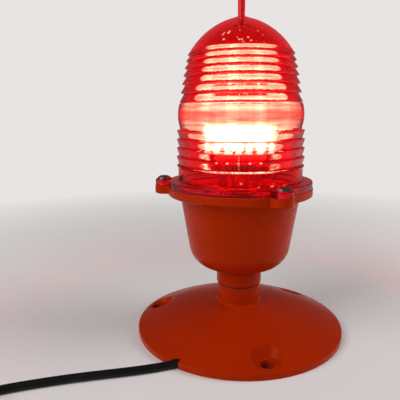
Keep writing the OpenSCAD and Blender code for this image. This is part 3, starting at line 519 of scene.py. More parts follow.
def true_normals(made, ear_zone=(1e9, 0, 0), surface=None):
    """Corner normals of a turned piece set back into planes through its axis, but not at its ears, seams or holes.
    Where the piece's top follows a height field, they are that field's own normals."""
    most_across, axis_r, step, near_top, along = 0.12, 0.1, 0.04, 0.02, 0.8
    mesh = made.data
    count = len(mesh.loops)
    normals = np.empty(3*count)
    mesh.corner_normals.foreach_get("vector", normals)
    normals = normals.reshape(-1, 3)
    owners = np.empty(count, dtype=np.int32)
    mesh.loops.foreach_get("vertex_index", owners)
    spots = np.empty(3*len(mesh.vertices))
    mesh.vertices.foreach_get("co", spots)
    x, y, z = (spots.reshape(-1, 3)[owners]/MM).T
    radius = np.hypot(x, y)
    tangent = np.stack((-y, x, 0*x), 1)/np.maximum(radius, 1e-3)[:, None]
    across = (normals*tangent).sum(1)
    at_ears = (radius > ear_zone[0]) & (z > ear_zone[1]) & (z < ear_zone[2])
    turned = (np.abs(across) < most_across) & ~at_ears & (radius > axis_r)
    normals[turned] -= across[turned, None]*tangent[turned]
    if surface:
        up = np.stack(((surface(x - step, y) - surface(x + step, y))/(2*step),
                       (surface(x, y - step) - surface(x, y + step))/(2*step), 1 + 0*x), 1)
        up /= np.linalg.norm(up, axis=1)[:, None]
        on_top = (np.abs(z - surface(x, y)) < near_top) & ((normals*up).sum(1) > along)
        on_top &= (radius > TOP_FROM - 0.1) & (radius < TOP_TO + 0.1)
        normals[on_top] = up[on_top]
    normals /= np.linalg.norm(normals, axis=1)[:, None]
    mesh.normals_split_custom_set(normals.tolist())
    return made


def cleaned(mesh, outward=False):
    """The mesh with its doubles merged, and with its faces turned outward where that is asked."""
    work = bmesh.new()
    work.from_mesh(mesh)
    bmesh.ops.remove_doubles(work, verts=work.verts, dist=2e-6)
    bmesh.ops.dissolve_degenerate(work, edges=work.edges, dist=1e-6)
    if outward:
        bmesh.ops.recalc_face_normals(work, faces=work.faces)
    work.to_mesh(mesh)
    work.free()
    return mesh


def carved(made, cutters, operation="DIFFERENCE"):
    """The object with each cutter in turn taken away from it or joined to it."""
    for cutter in cutters:
        step = made.modifiers.new("cut", "BOOLEAN")
        step.operation = operation
        step.solver = "EXACT"
        step.object = cutter
        bpy.context.view_layer.update()
        cleaned(settled(made).data)
        bpy.data.objects.remove(cutter)
    return made


def turned_mesh(name, profile, steps, closed=True):
    """A mesh turned about Z from a closed profile of (radius, height) in millimetres, or one that ends on the axis."""
    rows, points = [], []
    for radius, height in profile:
        if radius < 1e-6:
            rows.append([len(points)]*steps)
            points.append((0, 0, height))
        else:
            rows.append(list(range(len(points), len(points) + steps)))
            points += [(radius*math.cos(math.tau*i/steps), radius*math.sin(math.tau*i/steps), height)
                       for i in range(steps)]
    faces = []
    for a, b in zip(rows, rows[1:] + rows[:1] if closed else rows[1:]):
        for i in range(steps):
            j = (i + 1) % steps
            corners = list(dict.fromkeys((a[i], a[j], b[j], b[i])))
            if len(corners) > 2:
                faces.append(corners)
    return cleaned(mesh_of(name, points, faces), outward=True)


def rounded(corners, fine=3):
    """A closed outline of (x, y, radius) corners with each radius rolled in."""
    line = []
    count = len(corners)
    for i, (x, y, radius) in enumerate(corners):
        here = Vector((x, y))
        before = Vector(corners[i - 1][:2]) - here
        after = Vector(corners[(i + 1) % count][:2]) - here
        if radius <= 0 or before.length < 1e-6 or after.length < 1e-6:
            line.append((x, y))
            continue
        a, b = before.normalized(), after.normalized()
        half = math.acos(max(-1.0, min(1.0, a.dot(b))))/2
        if half > math.radians(88.5):
            line.append((x, y))
            continue
        reach = min(radius/math.tan(half), 0.49*before.length, 0.49*after.length)
        true_r = reach*math.tan(half)
        centre = here + (a + b).normalized()*(true_r/math.sin(half))
        start = here + a*reach - centre
        end = here + b*reach - centre
        sweep = start.angle_signed(end)
        for k in range(fine + 1):
            turn = -sweep*k/fine
            line.append((centre.x + start.x*math.cos(turn) - start.y*math.sin(turn),
                         centre.y + start.x*math.sin(turn) + start.y*math.cos(turn)))
    return line


def moved(made, matrix):
    made.data.transform(matrix)
    return made


def shift(x, y, z=0):
    """A move in millimetres."""
    return Matrix.Translation((MM*x, MM*y, MM*z))


def turned_by(degrees, axis="Z"):
    return Matrix.Rotation(math.radians(degrees), 4, axis)


def rod(name, radius, low, high, steps=32, at=(0, 0)):
    line = [(0, low), (radius, low), (radius, high), (0, high)]
    return moved(add_object(name, turned_mesh(name, line, steps, closed=False)), shift(*at))


def slab(name, outline, depth, place):
    """A closed outline in XZ, drawn out along Y to both sides and put in place, all in millimetres."""
    count = len(outline)
    points = [(x, side*depth/2, z) for side in (-1, 1) for x, z in outline]
    faces = [list(range(count)), list(range(2*count - 1, count - 1, -1))]
    faces += [(i, i + count, (i + 1) % count + count, (i + 1) % count) for i in range(count)]
    mesh = mesh_of(name, [place @ Vector(p) for p in points], faces)
    return add_object(name, cleaned(mesh, outward=True))


def three_round(radius, turn):
    turns = [math.radians(turn + 120*k) for k in range(3)]
    return [(radius*math.cos(a), radius*math.sin(a)) for a in turns]


EARS = three_round(EAR_AT_R, EAR_TURN)
ANCHORS = three_round(ANCHOR_R, ANCHOR_TURN)


def fitted(made, body, slot_name, *replaced):
    """The piece in its finish, unless its tree gave it one, put on its body, with the nodes it replaces hidden."""
    if not made.data.materials:
        made.data.materials.append(FINISHES[slot_name])
    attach(made, body)
    if replaced:
        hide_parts(*replaced)
    return made


def grown(name, data, tree, **values):
    """A plain mesh from a geometry tree run on the data, with the tree's named inputs set."""
    made = add_object(name, data)
    step = made.modifiers.new("tree", "NODES")
    step.node_group = tree
    wanted = {key.replace("_", " "): value for key, value in values.items()}
    for item in tree.interface.items_tree:
        if item.in_out == "INPUT" and item.name in wanted:
            step[item.identifier] = wanted.pop(item.name)
    assert not wanted, wanted
    bpy.context.view_layer.update()
    return settled(made)


def end_tree(end, geometry, material):
    """Ends a geometry tree in real geometry that has its material."""
    whole = put(geometry.tree, "GeometryNodeRealizeInstances", Geometry=geometry)
    feed(end, i0=put(geometry.tree, "GeometryNodeSetMaterial", Geometry=whole, Material=material))


# Turned bodies with ears, made by one geometry tree from a profile and a list of angles
def make_eared_tree():
    """Turns the profile round Z. Points marked with a share reach out to the eared outline by that share."""
    tree, given, end = new_group(
        "eared turning", "GeometryNodeTree",
        {"Profile and angles": "Geometry", "Profile points": 10, "Angles": 10, "Flange radius": 0.06,
         "Ear distance": 0.065, "Ear radius": 0.008, "Ear turn": 0.0, "Root fillet": 0.002, "Seam height": 0.0,
         "Seam turn": 0.0, "Seam width": 0.01, "Finish": "Material"},
        {"Geometry": "Geometry"})
    grid = put(tree, "GeometryNodeMeshGrid", Size_X=1.0, Size_Y=1.0, Vertices_X=given["Angles"],
               Vertices_Y=given["Profile points"])
    position = put(tree, "GeometryNodeInputPosition")
    column, row, _ = put(tree, "ShaderNodeSeparateXYZ", i0=position)

    def listed(offset, index):
        whole = put(tree, "FunctionNodeFloatToInt", {"rounding_mode": "ROUND"}, i0=index + offset)
        taken = put(tree, "GeometryNodeSampleIndex", {"data_type": "FLOAT_VECTOR", "domain": "POINT"},
                    Geometry=given["Profile and angles"], Index=whole, Value=position)
        return put(tree, "ShaderNodeSeparateXYZ", i0=taken)

    radius, share, height = listed(0.0, (row + 0.5)*(given["Profile points"] - 1))
    angle = listed(given["Profile points"], (column + 0.5)*(given["Angles"] - 1))[0]
    ear_r, ear_at, flange_r = given["Ear radius"], given["Ear distance"], given["Flange radius"]
    off_ear = (angle - given["Ear turn"]).maths("WRAP", math.tau/6, -math.tau/6)
    sine = off_ear.maths("SINE").maths("ABSOLUTE")
    miss = ear_at*sine
    cap = ear_at*off_ear.maths("COSINE") + (ear_r*ear_r - miss*miss).maths("MAXIMUM", 0.0).maths("SQRT")
    side = ear_r/sine.maths("MAXIMUM", 0.001)
    outline = cap.maths("MINIMUM", side).maths("SMOOTH_MAX", flange_r, given["Root fillet"])
    more = (outline - flange_r)*share.maths("MAXIMUM", 0.0)
    off_seam = (angle - given["Seam turn"]).maths("WRAP", math.pi/2, -math.pi/2).maths("ABSOLUTE")
    ridge = off_seam.mapped(0.0, given["Seam width"], 1.0, 0.0)*given["Seam height"]*(share > -0.5)
    full = radius + more + ridge
    place = put(tree, "ShaderNodeCombineXYZ", i0=full*angle.maths("COSINE"), i1=full*angle.maths("SINE"), i2=height)
    bent = put(tree, "GeometryNodeSetPosition", Geometry=grid, Position=place)
    end_tree(end, put(tree, "GeometryNodeMergeByDistance", Geometry=bent, Distance=2e-6), given["Finish"])
    return tree


def ear_angles(step=1.25, fine=0.5, near=12, ear_corners=(6.96, 7.51), seam_edge=0.25, closest=0.12):
    """Angles in degrees round the axis, closer at the ears, with one on each mould seam."""
    offs = [x for x in np.arange(-60, 60, step) if abs(x) > near]
    offs += [*np.arange(-near, near + 0.01, fine), *ear_corners, *(-x for x in ear_corners)]
    turns = {round((EAR_TURN + 120*k + x) % 360, 3) for k in range(3) for x in offs}
    turns |= {SEAM_TURN + 180*k + x for k in range(2) for x in (-seam_edge, 0, seam_edge)}
    kept = []
    for turn in sorted(turns):
        if not kept or turn - kept[-1] > closest:
            kept.append(turn)
    return kept + [kept[0] + 360]


EARED_TREE = make_eared_tree()
EAR_ANGLES = ear_angles()


def add_eared_body(name, profile, slot_name, replaced, low, high, hole_r, seam_height=0.0, angle=32):
    """A turned body with a holed ear at each third. The profile has (radius, height, share) in millimetres."""
    points = [(MM*r, share, MM*z) for r, z, share in profile] + [(math.radians(t), 0, 0) for t in EAR_ANGLES]
    data = bpy.data.meshes.new(name)
    data.from_pydata(points, [], [])
    made = grown(name, data, EARED_TREE, Profile_points=len(profile), Angles=len(EAR_ANGLES),
                 Flange_radius=MM*FLANGE_R, Ear_distance=MM*EAR_AT_R, Ear_radius=MM*EAR_R,
                 Ear_turn=math.radians(EAR_TURN), Root_fillet=0.0012, Seam_height=MM*seam_height,
                 Seam_turn=math.radians(SEAM_TURN), Seam_width=math.radians(0.25), Finish=FINISHES[slot_name])
    cleaned(made.data, outward=True)
    carved(made, [rod("hole", hole_r, low - 2, high + 2, at=ear) for ear in EARS])
    true_normals(even_shading(made, angle), (EAR_AT_R - 7.5, low - 1, high + 1))
    fitted(made, "head", slot_name, replaced)


def make_ring_tree():
    """Sets a piece at even turns round Z, in rows, each with its own +X pointing outward."""
    tree, given, end = new_group(
        "ring of pieces", "GeometryNodeTree",
        {"Piece": "Geometry", "Count": 12, "Rows": 1, "Radius": 0.01, "Low": 0.0, "Pitch": 0.01, "Turn": 0.0,
         "Finish": "Material"},
        {"Geometry": "Geometry"})
    index = put(tree, "GeometryNodeInputIndex")
    row = ((index + 0.5)/given["Count"]).maths("FLOOR")
    angle = index/given["Count"]*math.tau + given["Turn"]
    place = put(tree, "ShaderNodeCombineXYZ", i0=angle.maths("COSINE")*given["Radius"],
                i1=angle.maths("SINE")*given["Radius"], i2=row*given["Pitch"] + given["Low"])
    points = put(tree, "GeometryNodePoints", Count=given["Count"]*given["Rows"], Position=place)
    copies = put(tree, "GeometryNodeInstanceOnPoints", Points=points, Instance=given["Piece"],
                 Rotation=put(tree, "ShaderNodeCombineXYZ", i2=angle))
    end_tree(end, copies, given["Finish"])
    return tree


RING_TREE = make_ring_tree()


def ringed(name, piece, slot_name, *replaced, count, rows=1, radius, low=0.0, pitch=0.0, turn, angle=35):
    """The piece's mesh set round Z by the ring tree, dressed and put on the head."""
    made = grown(name, piece, RING_TREE, Count=count, Rows=rows, Radius=MM*radius, Low=MM*low, Pitch=MM*pitch,
                 Turn=math.radians(turn), Finish=FINISHES[slot_name])
    return fitted(even_shading(made, angle), "head", slot_name, *replaced)


# Lens
LENS_WALL = 5.2
LENS_BORE_R = 47.8
LENS_FLANGE_R = 60.7
SKIRT_R = 52.3
SKIRT_TOP = 144.55
LOW_TIPS = [(53.8 - 0.175*k, LOW_PRISMS_FROM + LOW_PITCH*k) for k in range(5)]
UP_TIPS = [(50.8 - 1.17*k, UP_PRISMS_FROM + UP_PITCH*(k - UP_SHRINK*k*(k - 1)/2)) for k in range(7)]
CROWN_START = (UP_TIPS[6][0] - 1.5, UP_TIPS[6][1] + 1.4)
CROWN_ARC_R = 59.8
CROWN_IN = 9.1
CROWN_MID = CROWN_START[1] - math.sqrt(CROWN_ARC_R**2 - (CROWN_START[0] + CROWN_IN)**2)


def crown_z(radius, arc_r):
    return CROWN_MID + math.sqrt(arc_r**2 - (radius + CROWN_IN)**2)


BOSS_R = 6.2
BOSS_BORE_R = 4.25
BOSS_TOP = crown_z(BOSS_R, CROWN_ARC_R) + 0.3
BOSS_LOW = crown_z(BOSS_R, CROWN_ARC_R - LENS_WALL) - 2


def lens_profile():
    """The lens's section, up its outside and down its bore, with each moulded corner a little round."""
    corners = [(LENS_FLANGE_R, LENS_SEAT, 0.4), (LENS_FLANGE_R, LENS_FLANGE_TOP, 0.8),
               (SKIRT_R, LENS_FLANGE_TOP, 2.6), (SKIRT_R, SKIRT_TOP, 0.4)]
    for r, z in LOW_TIPS:
        corners += [(r, z, 0.35), (r - 2.5, z, 0.45)]
    belt_r, belt_mid, belt_half, belt_steps = 32, 187.47, 9.4, 12
    half = math.degrees(math.asin(belt_half/belt_r))
    for k in range(belt_steps + 1):
        a = math.radians(-half + 2*half*k/belt_steps)
        corners.append((20.1 + belt_r*math.cos(a), belt_mid + belt_r*math.sin(a), 0))
    for r, z in UP_TIPS:
        corners += [(r - 3, z, 0.45), (r, z, 0.35)]
    steps = 20
    corners += [(r, crown_z(r, CROWN_ARC_R), 0) for r in np.linspace(CROWN_START[0], BOSS_R + 1, steps)]
    corners += [(BOSS_R, BOSS_TOP - 0.25, 0.3), (BOSS_R - 0.4, BOSS_TOP, 0.2), (BOSS_BORE_R, BOSS_TOP, 0.1)]
    corners += [(BOSS_BORE_R, BOSS_LOW, 0.1), (BOSS_R, BOSS_LOW, 0.5)]
    corners += [(r, crown_z(r, CROWN_ARC_R - LENS_WALL), 0) for r in np.linspace(BOSS_R + 1, 36.78, steps)]
    corners += [(46.4, UP_PRISMS_FROM, 3.0), (LENS_BORE_R, SKIRT_TOP, 4.0), (LENS_BORE_R, LENS_SEAT, 0.3)]
    line = rounded(corners)
    inner_from = next(i for i, (r, z) in enumerate(line) if r < BOSS_BORE_R + 0.05)
    marked = []
    for i, (r, z) in enumerate(line):
        share = max(0.0, min(1.0, (r - 54.5)/5.0)) if z <= LENS_FLANGE_TOP + 0.01 else 0.0
        marked.append((r, z, -1.0 if i >= inner_from and share == 0 else share))
    return marked + [marked[0]]


add_eared_body("lens_shell", lens_profile(), "red_lens", "lens", LENS_SEAT, LENS_FLANGE_TOP, 2.8, seam_height=0.16,
               angle=28)


def add_lens_screws():
    """Button heads with a hexagonal socket, on plain washers."""
    foot, low, seat = FLANGE_LOW + 1, LENS_FLANGE_TOP, LENS_FLANGE_TOP + 0.8
    shank_r, head_r, bore_r, washer_r, washer_top = 2.45, 5.7, 2.6, 6.3, seat - 0.05
    screw = rounded([(0, foot, 0), (shank_r, foot, 0.4), (shank_r, seat, 0.1), (head_r, seat, 0.25),
                     (head_r - 0.3, seat + 0.7, 0.5), (3.4, seat + 1.9, 1.6), (0, seat + 2.0, 0)], 5)
    piece = add_object("screw", turned_mesh("screw", screw, 48, closed=False))
    carved(piece, [rod("socket", 1.9, seat + 0.6, seat + 5, 6)])
    washer = rounded([(bore_r, low, 0.15), (washer_r, low, 0.25), (washer_r, washer_top, 0.3),
                      (bore_r, washer_top, 0.15)])
    work = bmesh.new()
    work.from_mesh(piece.data)
    work.from_mesh(turned_mesh("washer", washer, 48))
    mesh = bpy.data.meshes.new("screw_and_washer")
    work.to_mesh(mesh)
    work.free()
    bpy.data.objects.remove(piece)
    ringed("ear_screws", mesh, "dark_steel", "lens_screws", "lens_washers", count=3, radius=EAR_AT_R, turn=EAR_TURN)


def add_spike():
    """The plain rod on the crown, with a groove and a shoulder at its foot."""
    foot_r, rod_r, groove_r, length = 2.35, 2.9, 2.62, 62
    line = [(0, -7, 0), (foot_r, -7, 0.5), (foot_r, 0, 0.1), (rod_r, 0, 0.35), (rod_r, 3.2, 0.2),
            (groove_r, 3.5, 0.2), (groove_r, 4.3, 0.2), (rod_r, 4.6, 0.2), (rod_r, length, 2.2), (0, length, 0)]
    line = rounded([(r, BOSS_TOP + z, rounding) for r, z, rounding in line], 6)
    spike = add_object("bird_rod", turned_mesh("bird_rod", line, 48, closed=False))
    fitted(even_shading(spike, 35), "head", "red_rod", "bird_spike")


add_lens_screws()
add_spike()


# Lamp tower
def add_lamps():
    """Round lamps with a domed tip, lying outward from the narrow boards."""
    body = [(0, 0), (2.5, 0), (2.5, 0.9), (2.2, 1.0), (2.2, 2.9), (1.9, 4.1), (1.1, 5.0), (0, 5.3)]
    lamp = turned_mesh("lamp", body, 12, closed=False)
    lamp.transform(turned_by(90, "Y"))
    ringed("lit_lamps", lamp, "lamp_glow", "leds", count=LAMP_COLUMNS, rows=5, radius=16.6, low=160.05, pitch=9.5,
           turn=LAMP_TURN)


def add_solder_dots():
    """Small domes of solder on the boards at both ends of the tower. Those on the top board wear the lamps' finish, so
    they glow as painted light.
    """
    dot = [(0, -0.05), (0.95, -0.05), (0.9, 0.12), (0.55, 0.42), (0, 0.55)]
    for name, count, radius, height, slot_name in (
            ("top_outer_dots", LAMP_COLUMNS, 19.5, TOP_BOARD_TOP, "lamp_glow"),
            ("top_inner_dots", 8, 7.5, TOP_BOARD_TOP, "lamp_glow"),
            ("low_dots", LAMP_COLUMNS, 20.2, LOW_BOARD_TOP, "zinc_steel")):
        ringed(name, turned_mesh("dot", dot, 10, closed=False), slot_name, count=count, radius=radius, low=height,
               turn=LAMP_TURN, angle=60)


add_lamps()
add_solder_dots()


# Housing
SIDE_LEAN = math.radians(9.2)
FLOOR_RISE = math.radians(22.3)
BOWL_WALL = 3.5
FLOOR_TOP = 60
GLAND_SEAT = 55.35
GLAND_HOLE_R = 6.25


def bowl_side(z, off):
    return BOWL_R - (FLANGE_LOW - z)*math.tan(SIDE_LEAN) - off/math.cos(SIDE_LEAN)


def bowl_floor(r, off):
    return NECK_TOP + (r - NECK_R)*math.tan(FLOOR_RISE) + off/math.cos(FLOOR_RISE)


def corner_of(off):
    """Where the bowl's side line and floor line meet, off inside the outer surface."""
    side, floor = math.tan(SIDE_LEAN), math.tan(FLOOR_RISE)
    r0, f0 = bowl_side(FLANGE_LOW, off), bowl_floor(NECK_R, off)
    z = (f0 + (r0 - FLANGE_LOW*side - NECK_R)*floor)/(1 - side*floor)
    return r0 - (FLANGE_LOW - z)*side, z


def housing_profile():
    """The section of neck, bowl and flange, up its outside and down its inside."""
    floor_r = NECK_R + (FLOOR_TOP - bowl_floor(NECK_R, BOWL_WALL))/math.tan(FLOOR_RISE)
    inner_r = bowl_side(FLANGE_LOW, BOWL_WALL)
    corners = [(BORE_R, NECK_BOTTOM, 0.5), (NECK_R, NECK_BOTTOM, 1.3), (NECK_R, NECK_TOP, 1.6),
               (*corner_of(0), 22), (bowl_side(FLANGE_LOW - 3.4, 0), FLANGE_LOW - 3.4, 1.8),
               (BOWL_R + 2.4, FLANGE_LOW - 1.6, 1.0), (BOWL_R + 2.4, FLANGE_LOW, 0.5),
               (FLANGE_R, FLANGE_LOW, 1.3), (FLANGE_R, LENS_SEAT, 0.9),
               (57.5, LENS_SEAT, 0.2), (57.5, LENS_SEAT - 1.5, 0.2), (54.5, LENS_SEAT - 1.5, 0.2),
               (54.5, LENS_SEAT, 0.2), (inner_r, LENS_SEAT, 0.6), (inner_r, FLANGE_LOW, 2.0),
               (*corner_of(BOWL_WALL), 18.5), (floor_r, FLOOR_TOP, 2.0), (GLAND_HOLE_R, FLOOR_TOP, 0.3),
               (GLAND_HOLE_R, GLAND_SEAT, 0.2), (BORE_R, GLAND_SEAT, 0.4)]
    line = rounded(corners, 5)
    marked = [(r, z, max(0.0, min(1.0, (r - 58.2)/2.0)) if z > FLANGE_LOW - 0.5 else 0.0) for r, z in line]
    return marked + [marked[0]]


add_eared_body("bowl_and_neck", housing_profile(), "orange_paint", "housing", FLANGE_LOW, LENS_SEAT, 2.5)


# Base, with its pockets' seats and walls and the circles that its top is built on
SEAT_R = 9.6
SEAT_Z = 6
DRAFT = math.tan(math.radians(30))
RING_STEPS = 192
TOP_FROM = 24
TOP_TO = 88.9
TOP_CIRCLES = 20
HOLE_R = 6
HOLE_STEPS = 96
LEAD_EXIT = (-51, -70)


def soft_least(a, b, reach):
    """The lesser of the two, rounded where they meet."""
    share = np.clip(0.5 + 0.5*(b - a)/reach, 0, 1)
    return b + (a - b)*share - reach*share*(1 - share)


def plain_dome(x, y):
    return RIM_H + DOME_RISE*(1 - (x*x + y*y)/BASE_R**2)


def base_height(x, y):
    """Height of the base's top: the dome with the three pockets rolled into it."""
    foot_round, lip_round = 0.9, 1.1
    high = plain_dome(x, y)
    for at_x, at_y in ANCHORS:
        off = np.hypot(x - at_x, y - at_y)
        wall = -soft_least(0*off, (SEAT_R - off)/DRAFT, foot_round)
        high = soft_least(high, SEAT_Z + wall, lip_round)
    return high


def pocket_rings(at_x, at_y):
    """Rings round an anchor hole that follow its edge, seat, wall and lip, and the reach of the last ring."""
    turn = np.linspace(0, math.tau, HOLE_STEPS, endpoint=False)
    cosine, sine = np.cos(turn), np.sin(turn)
    first, farthest, halvings = HOLE_R + 0.35, 24.0, 30
    low, high = np.full(HOLE_STEPS, first), np.full(HOLE_STEPS, farthest)
    for _ in range(halvings):
        middle = (low + high)/2
        wall = SEAT_Z + np.maximum(0, middle - SEAT_R)/DRAFT
        past = wall > plain_dome(at_x + middle*cosine, at_y + middle*sine)
        high, low = np.where(past, middle, high), np.where(past, low, middle)
    lip = low
    ahead = at_x*cosine + at_y*sine
    rim = np.sqrt(ahead**2 - at_x**2 - at_y**2 + (TOP_TO - 0.4)**2) - ahead
    reach = np.minimum(lip + 7, rim)
    seat = np.minimum(SEAT_R, first + 0.55*(lip - first))
    near = np.minimum(0.7, 0.2*(lip - seat))
    soft = np.minimum(0.9, 0.7*np.minimum(reach - lip, lip - seat - near))
    rows = [first + 0*lip, (first + seat - near)/2, seat - near, seat - near/3, seat + near/3, seat + near,
            (seat + near + lip - soft)/2, lip - soft, lip - soft/2, lip, lip + soft/2, lip + soft]
    rows += [lip + soft + (reach - lip - soft)*share for share in (0.2, 0.45, 0.7, 1.0)]
    return [list(zip(at_x + row*cosine, at_y + row*sine)) for row in rows], reach


def filled(loops, extra):
    """Triangles inside the first closed loop of indexed points and outside the others, through extra points."""
    flat = [spot for loop in loops for _, spot in loop] + [spot for _, spot in extra]
    names = [index for loop in loops for index, _ in loop] + [index for index, _ in extra]
    edges, start = [], 0
    for loop in loops:
        edges += [(start + i, start + (i + 1) % len(loop)) for i in range(len(loop))]
        start += len(loop)
    _, _, faces, owners, _, _ = delaunay_2d_cdt([Vector(p) for p in flat], edges, [], 0, 1e-7)
    holes = [{index for index, _ in loop} for loop in loops[1:]]
    made = [[names[owners[i][0]] for i in face] for face in faces]
    return [face for face in made if not any(hole.issuperset(face) for hole in holes)]


def base_solid():
    """The base's outside, collar, bore and anchor holes as one closed mesh that is flat underneath."""
    points, faces = [], []

    def row(spots):
        points.extend(spots)
        return list(range(len(points) - len(spots), len(points)))

    def ring(radius, height, steps=RING_STEPS, at=(0, 0)):
        return row([(at[0] + radius*math.cos(math.tau*i/steps), at[1] + radius*math.sin(math.tau*i/steps), height)
                    for i in range(steps)])

    def join(rows):
        for a, b in zip(rows, rows[1:]):
            faces.extend((a[i], a[(i + 1) % len(a)], b[(i + 1) % len(a)], b[i]) for i in range(len(a)))

    def named(ids):
        return [(i, points[i][:2]) for i in ids]

    edge_z = plain_dome(TOP_TO, 0)
    rim = rounded([(TOP_TO, edge_z, 0), (BASE_R, RIM_H, 1.1), (BASE_R, 0, 0.6), (80, 0, 0)], 5)
    rim_rows = [ring(r, z) for r, z in rim[:-1]]
    join(rim_rows)
    collar = rounded([(TOP_FROM, plain_dome(TOP_FROM, 0), 0), (COLLAR_R, plain_dome(COLLAR_R, 0), 2.4),
                      (COLLAR_R, COLLAR_TOP, 0.9), (BORE_R, COLLAR_TOP, 0.5), (BORE_R, 0, 0)], 6)
    collar_rows = [ring(r, z) for r, z in collar]
    join(collar_rows)
    patches, hole_rows = [], []
    for at in ANCHORS:
        rings, reach = pocket_rings(*at)
        patch = [row([(x, y, float(base_height(x, y))) for x, y in one]) for one in rings]
        join(patch)
        patches.append((at, reach, patch[-1]))
        edge = ((HOLE_R + 0.1, SEAT_Z - 0.12), (HOLE_R, SEAT_Z - 0.4), (HOLE_R, 0.4), (HOLE_R + 0.3, 0))
        wall = [patch[0]] + [ring(r, z, HOLE_STEPS, at) for r, z in edge]
        join(wall)
        hole_rows.append(wall[-1])

    def near_patch(x, y, apart=1.2):
        for (at_x, at_y), reach, _ in patches:
            place = math.atan2(y - at_y, x - at_x) % math.tau/math.tau*len(reach)
            own = np.interp(place, range(len(reach) + 1), [*reach, reach[0]])
            if math.hypot(x - at_x, y - at_y) < own + apart:
                return True
        return False

    inner = []
    for k in range(1, TOP_CIRCLES):
        r = TOP_FROM + (TOP_TO - TOP_FROM)*k/TOP_CIRCLES
        for i in range(RING_STEPS):
            a = math.tau*(i + 0.5*(k % 2))/RING_STEPS
            x, y = r*math.cos(a), r*math.sin(a)
            if not near_patch(x, y):
                inner += row([(x, y, float(base_height(x, y)))])
    faces += filled([named(rim_rows[0]), named(collar_rows[0])] + [named(last) for _, _, last in patches],
                    named(inner))
    faces += filled([named(ids) for ids in [rim_rows[-1], collar_rows[-1]] + hole_rows], [])
    return cleaned(mesh_of("round_base", points, faces), outward=True)


def base_cavity():
    """What is hollow under the base: a domed space without the three bosses and the six ribs."""
    def under(drop, radii):
        return [(r, plain_dome(r, 0) - drop) for r in radii]

    line = [(0, -1), (80.4, -1), (80, 1)] + under(4, np.linspace(80, 0, 20))
    space = add_object("cavity", turned_mesh("cavity", line, 128, closed=False))
    rib = [(90, 27), (15.2, 27)] + under(8, np.linspace(15.2, 90, 16))
    bosses = [rod("boss", 15.6, -2, 26, 64, at) for at in ANCHORS]
    return carved(space, bosses + [slab("rib", rib, 3, turned_by(ANCHOR_TURN + 60*k)) for k in range(6)])


def add_base():
    """The base, with its cavity, the slot that lets the lead out under the rim and the set screw's hole."""
    base = add_object("round_base", base_solid())
    arch_r = 3.5
    arch = [(-arch_r, -1), (arch_r, -1)]
    arch += [(arch_r*math.cos(a), LEAD_R + arch_r*math.sin(a)) for a in np.linspace(0, math.pi, 17)]
    slot = slab("slot", arch, 24, Matrix.Translation((*LEAD_EXIT, 0)) @ turned_by(-70))
    screw_hole = moved(rod("screw_hole", 3, 11.2, 26), shift(0, 0, 34.07) @ turned_by(-90, "X"))
    carved(base, [base_cavity(), slot, screw_hole])
    cleaned(base.data, outward=True)
    true_normals(even_shading(base, 32), surface=base_height)
    fitted(base, "stand", "orange_paint", "base")


add_base()


# Lead
def between(p, q, t, start, end):
    """The point that lies between p, reached at start, and q, reached at end, as t does."""
    return p*(end - t)/(end - start) + q*(t - start)/(end - start)


def smooth_line(points, fine):
    """A curve through the points, with fine steps between each two."""
    knots = [np.array(p, float) for p in points]
    knots = [2*knots[0] - knots[1]] + knots + [2*knots[-1] - knots[-2]]
    line = []
    for a, b, c, d in zip(knots, knots[1:], knots[2:], knots[3:]):
        t1 = np.linalg.norm(b - a)**0.5
        t2 = t1 + np.linalg.norm(c - b)**0.5
        t3 = t2 + np.linalg.norm(d - c)**0.5
        for k in range(fine):
            t = t1 + (t2 - t1)*k/fine
            near, middle, far = between(a, b, t, 0, t1), between(b, c, t, t1, t2), between(c, d, t, t2, t3)
            line.append(between(between(near, middle, t, 0, t2), between(middle, far, t, t1, t3), t, t1, t2))
    return line + [knots[-2]]


COIL_AT = (-196, -156)
COIL_START = 115
COIL_TURNS = 3.5
COIL_R = 39
COIL_LOW = 3.95
COIL_PITCH = 6.8
PLUG_AT = (-119, -165)
PLUG_TURN = 20
PLUG_H = 9.6


def coil_radius(t):
    """Radius after t turns: inward in the lower layer and outward again in the upper one."""
    return COIL_R - COIL_PITCH*min(t, COIL_TURNS - t)


def coil_point(t):
    """A point of the coil after t turns, which climbs from its lower layer to its upper one on the way."""
    climb = max(0.0, min(1.0, (t - 1.5)/0.5))
    turn = math.radians(COIL_START + 360*t)
    return (COIL_AT[0] + coil_radius(t)*math.cos(turn), COIL_AT[1] + coil_radius(t)*math.sin(turn),
            COIL_LOW + COIL_PITCH*climb*climb*(3 - 2*climb))


def on_heading(point, turn, length):
    a = math.radians(turn)
    return point[0] + length*math.cos(a), point[1] + length*math.sin(a), point[2]


def lead_line():
    """The lead's middle line, from the gland down the neck, under the rim, round the coil and to the plug."""
    steps = 24
    coil = [coil_point(i/steps) for i in range(int(steps*COIL_TURNS) + 1)]
    coil_in = on_heading(coil[0], COIL_START + 90, -2*LEAD_R)
    coil_out = on_heading(coil[-1], COIL_START + 360*COIL_TURNS + 90, 2*LEAD_R)
    plug_rear = (*PLUG_AT, PLUG_H/2)
    r = LEAD_R
    route = [(0, 0, 43), (0, 0, 36), (0, 0, 28), (-0.7, -1.8, 18.5), (-2.5, -6.9, 10.4), (-5.3, -14.5, 5),
             (-8.6, -23.5, r), (-14, -38, r), (-24, -54, r), (-38.5, -65.4, r), (*LEAD_EXIT, r), (-66, -75.3, r),
             (-81, -79.3, r), (-96, -82.5, r), (-112, -85.7, r), (-128, -89.2, r), (-150, -95, r),
             (-172, -102, r), (-190, -110.6, r + 0.4), coil_in, *coil, coil_out, (-160, -182.3, 10.4),
             (-146, -176, 7.8), on_heading(plug_rear, PLUG_TURN, -13), plug_rear]
    return [np.array((x, y, max(z, LEAD_R))) for x, y, z in smooth_line(route, 4)]


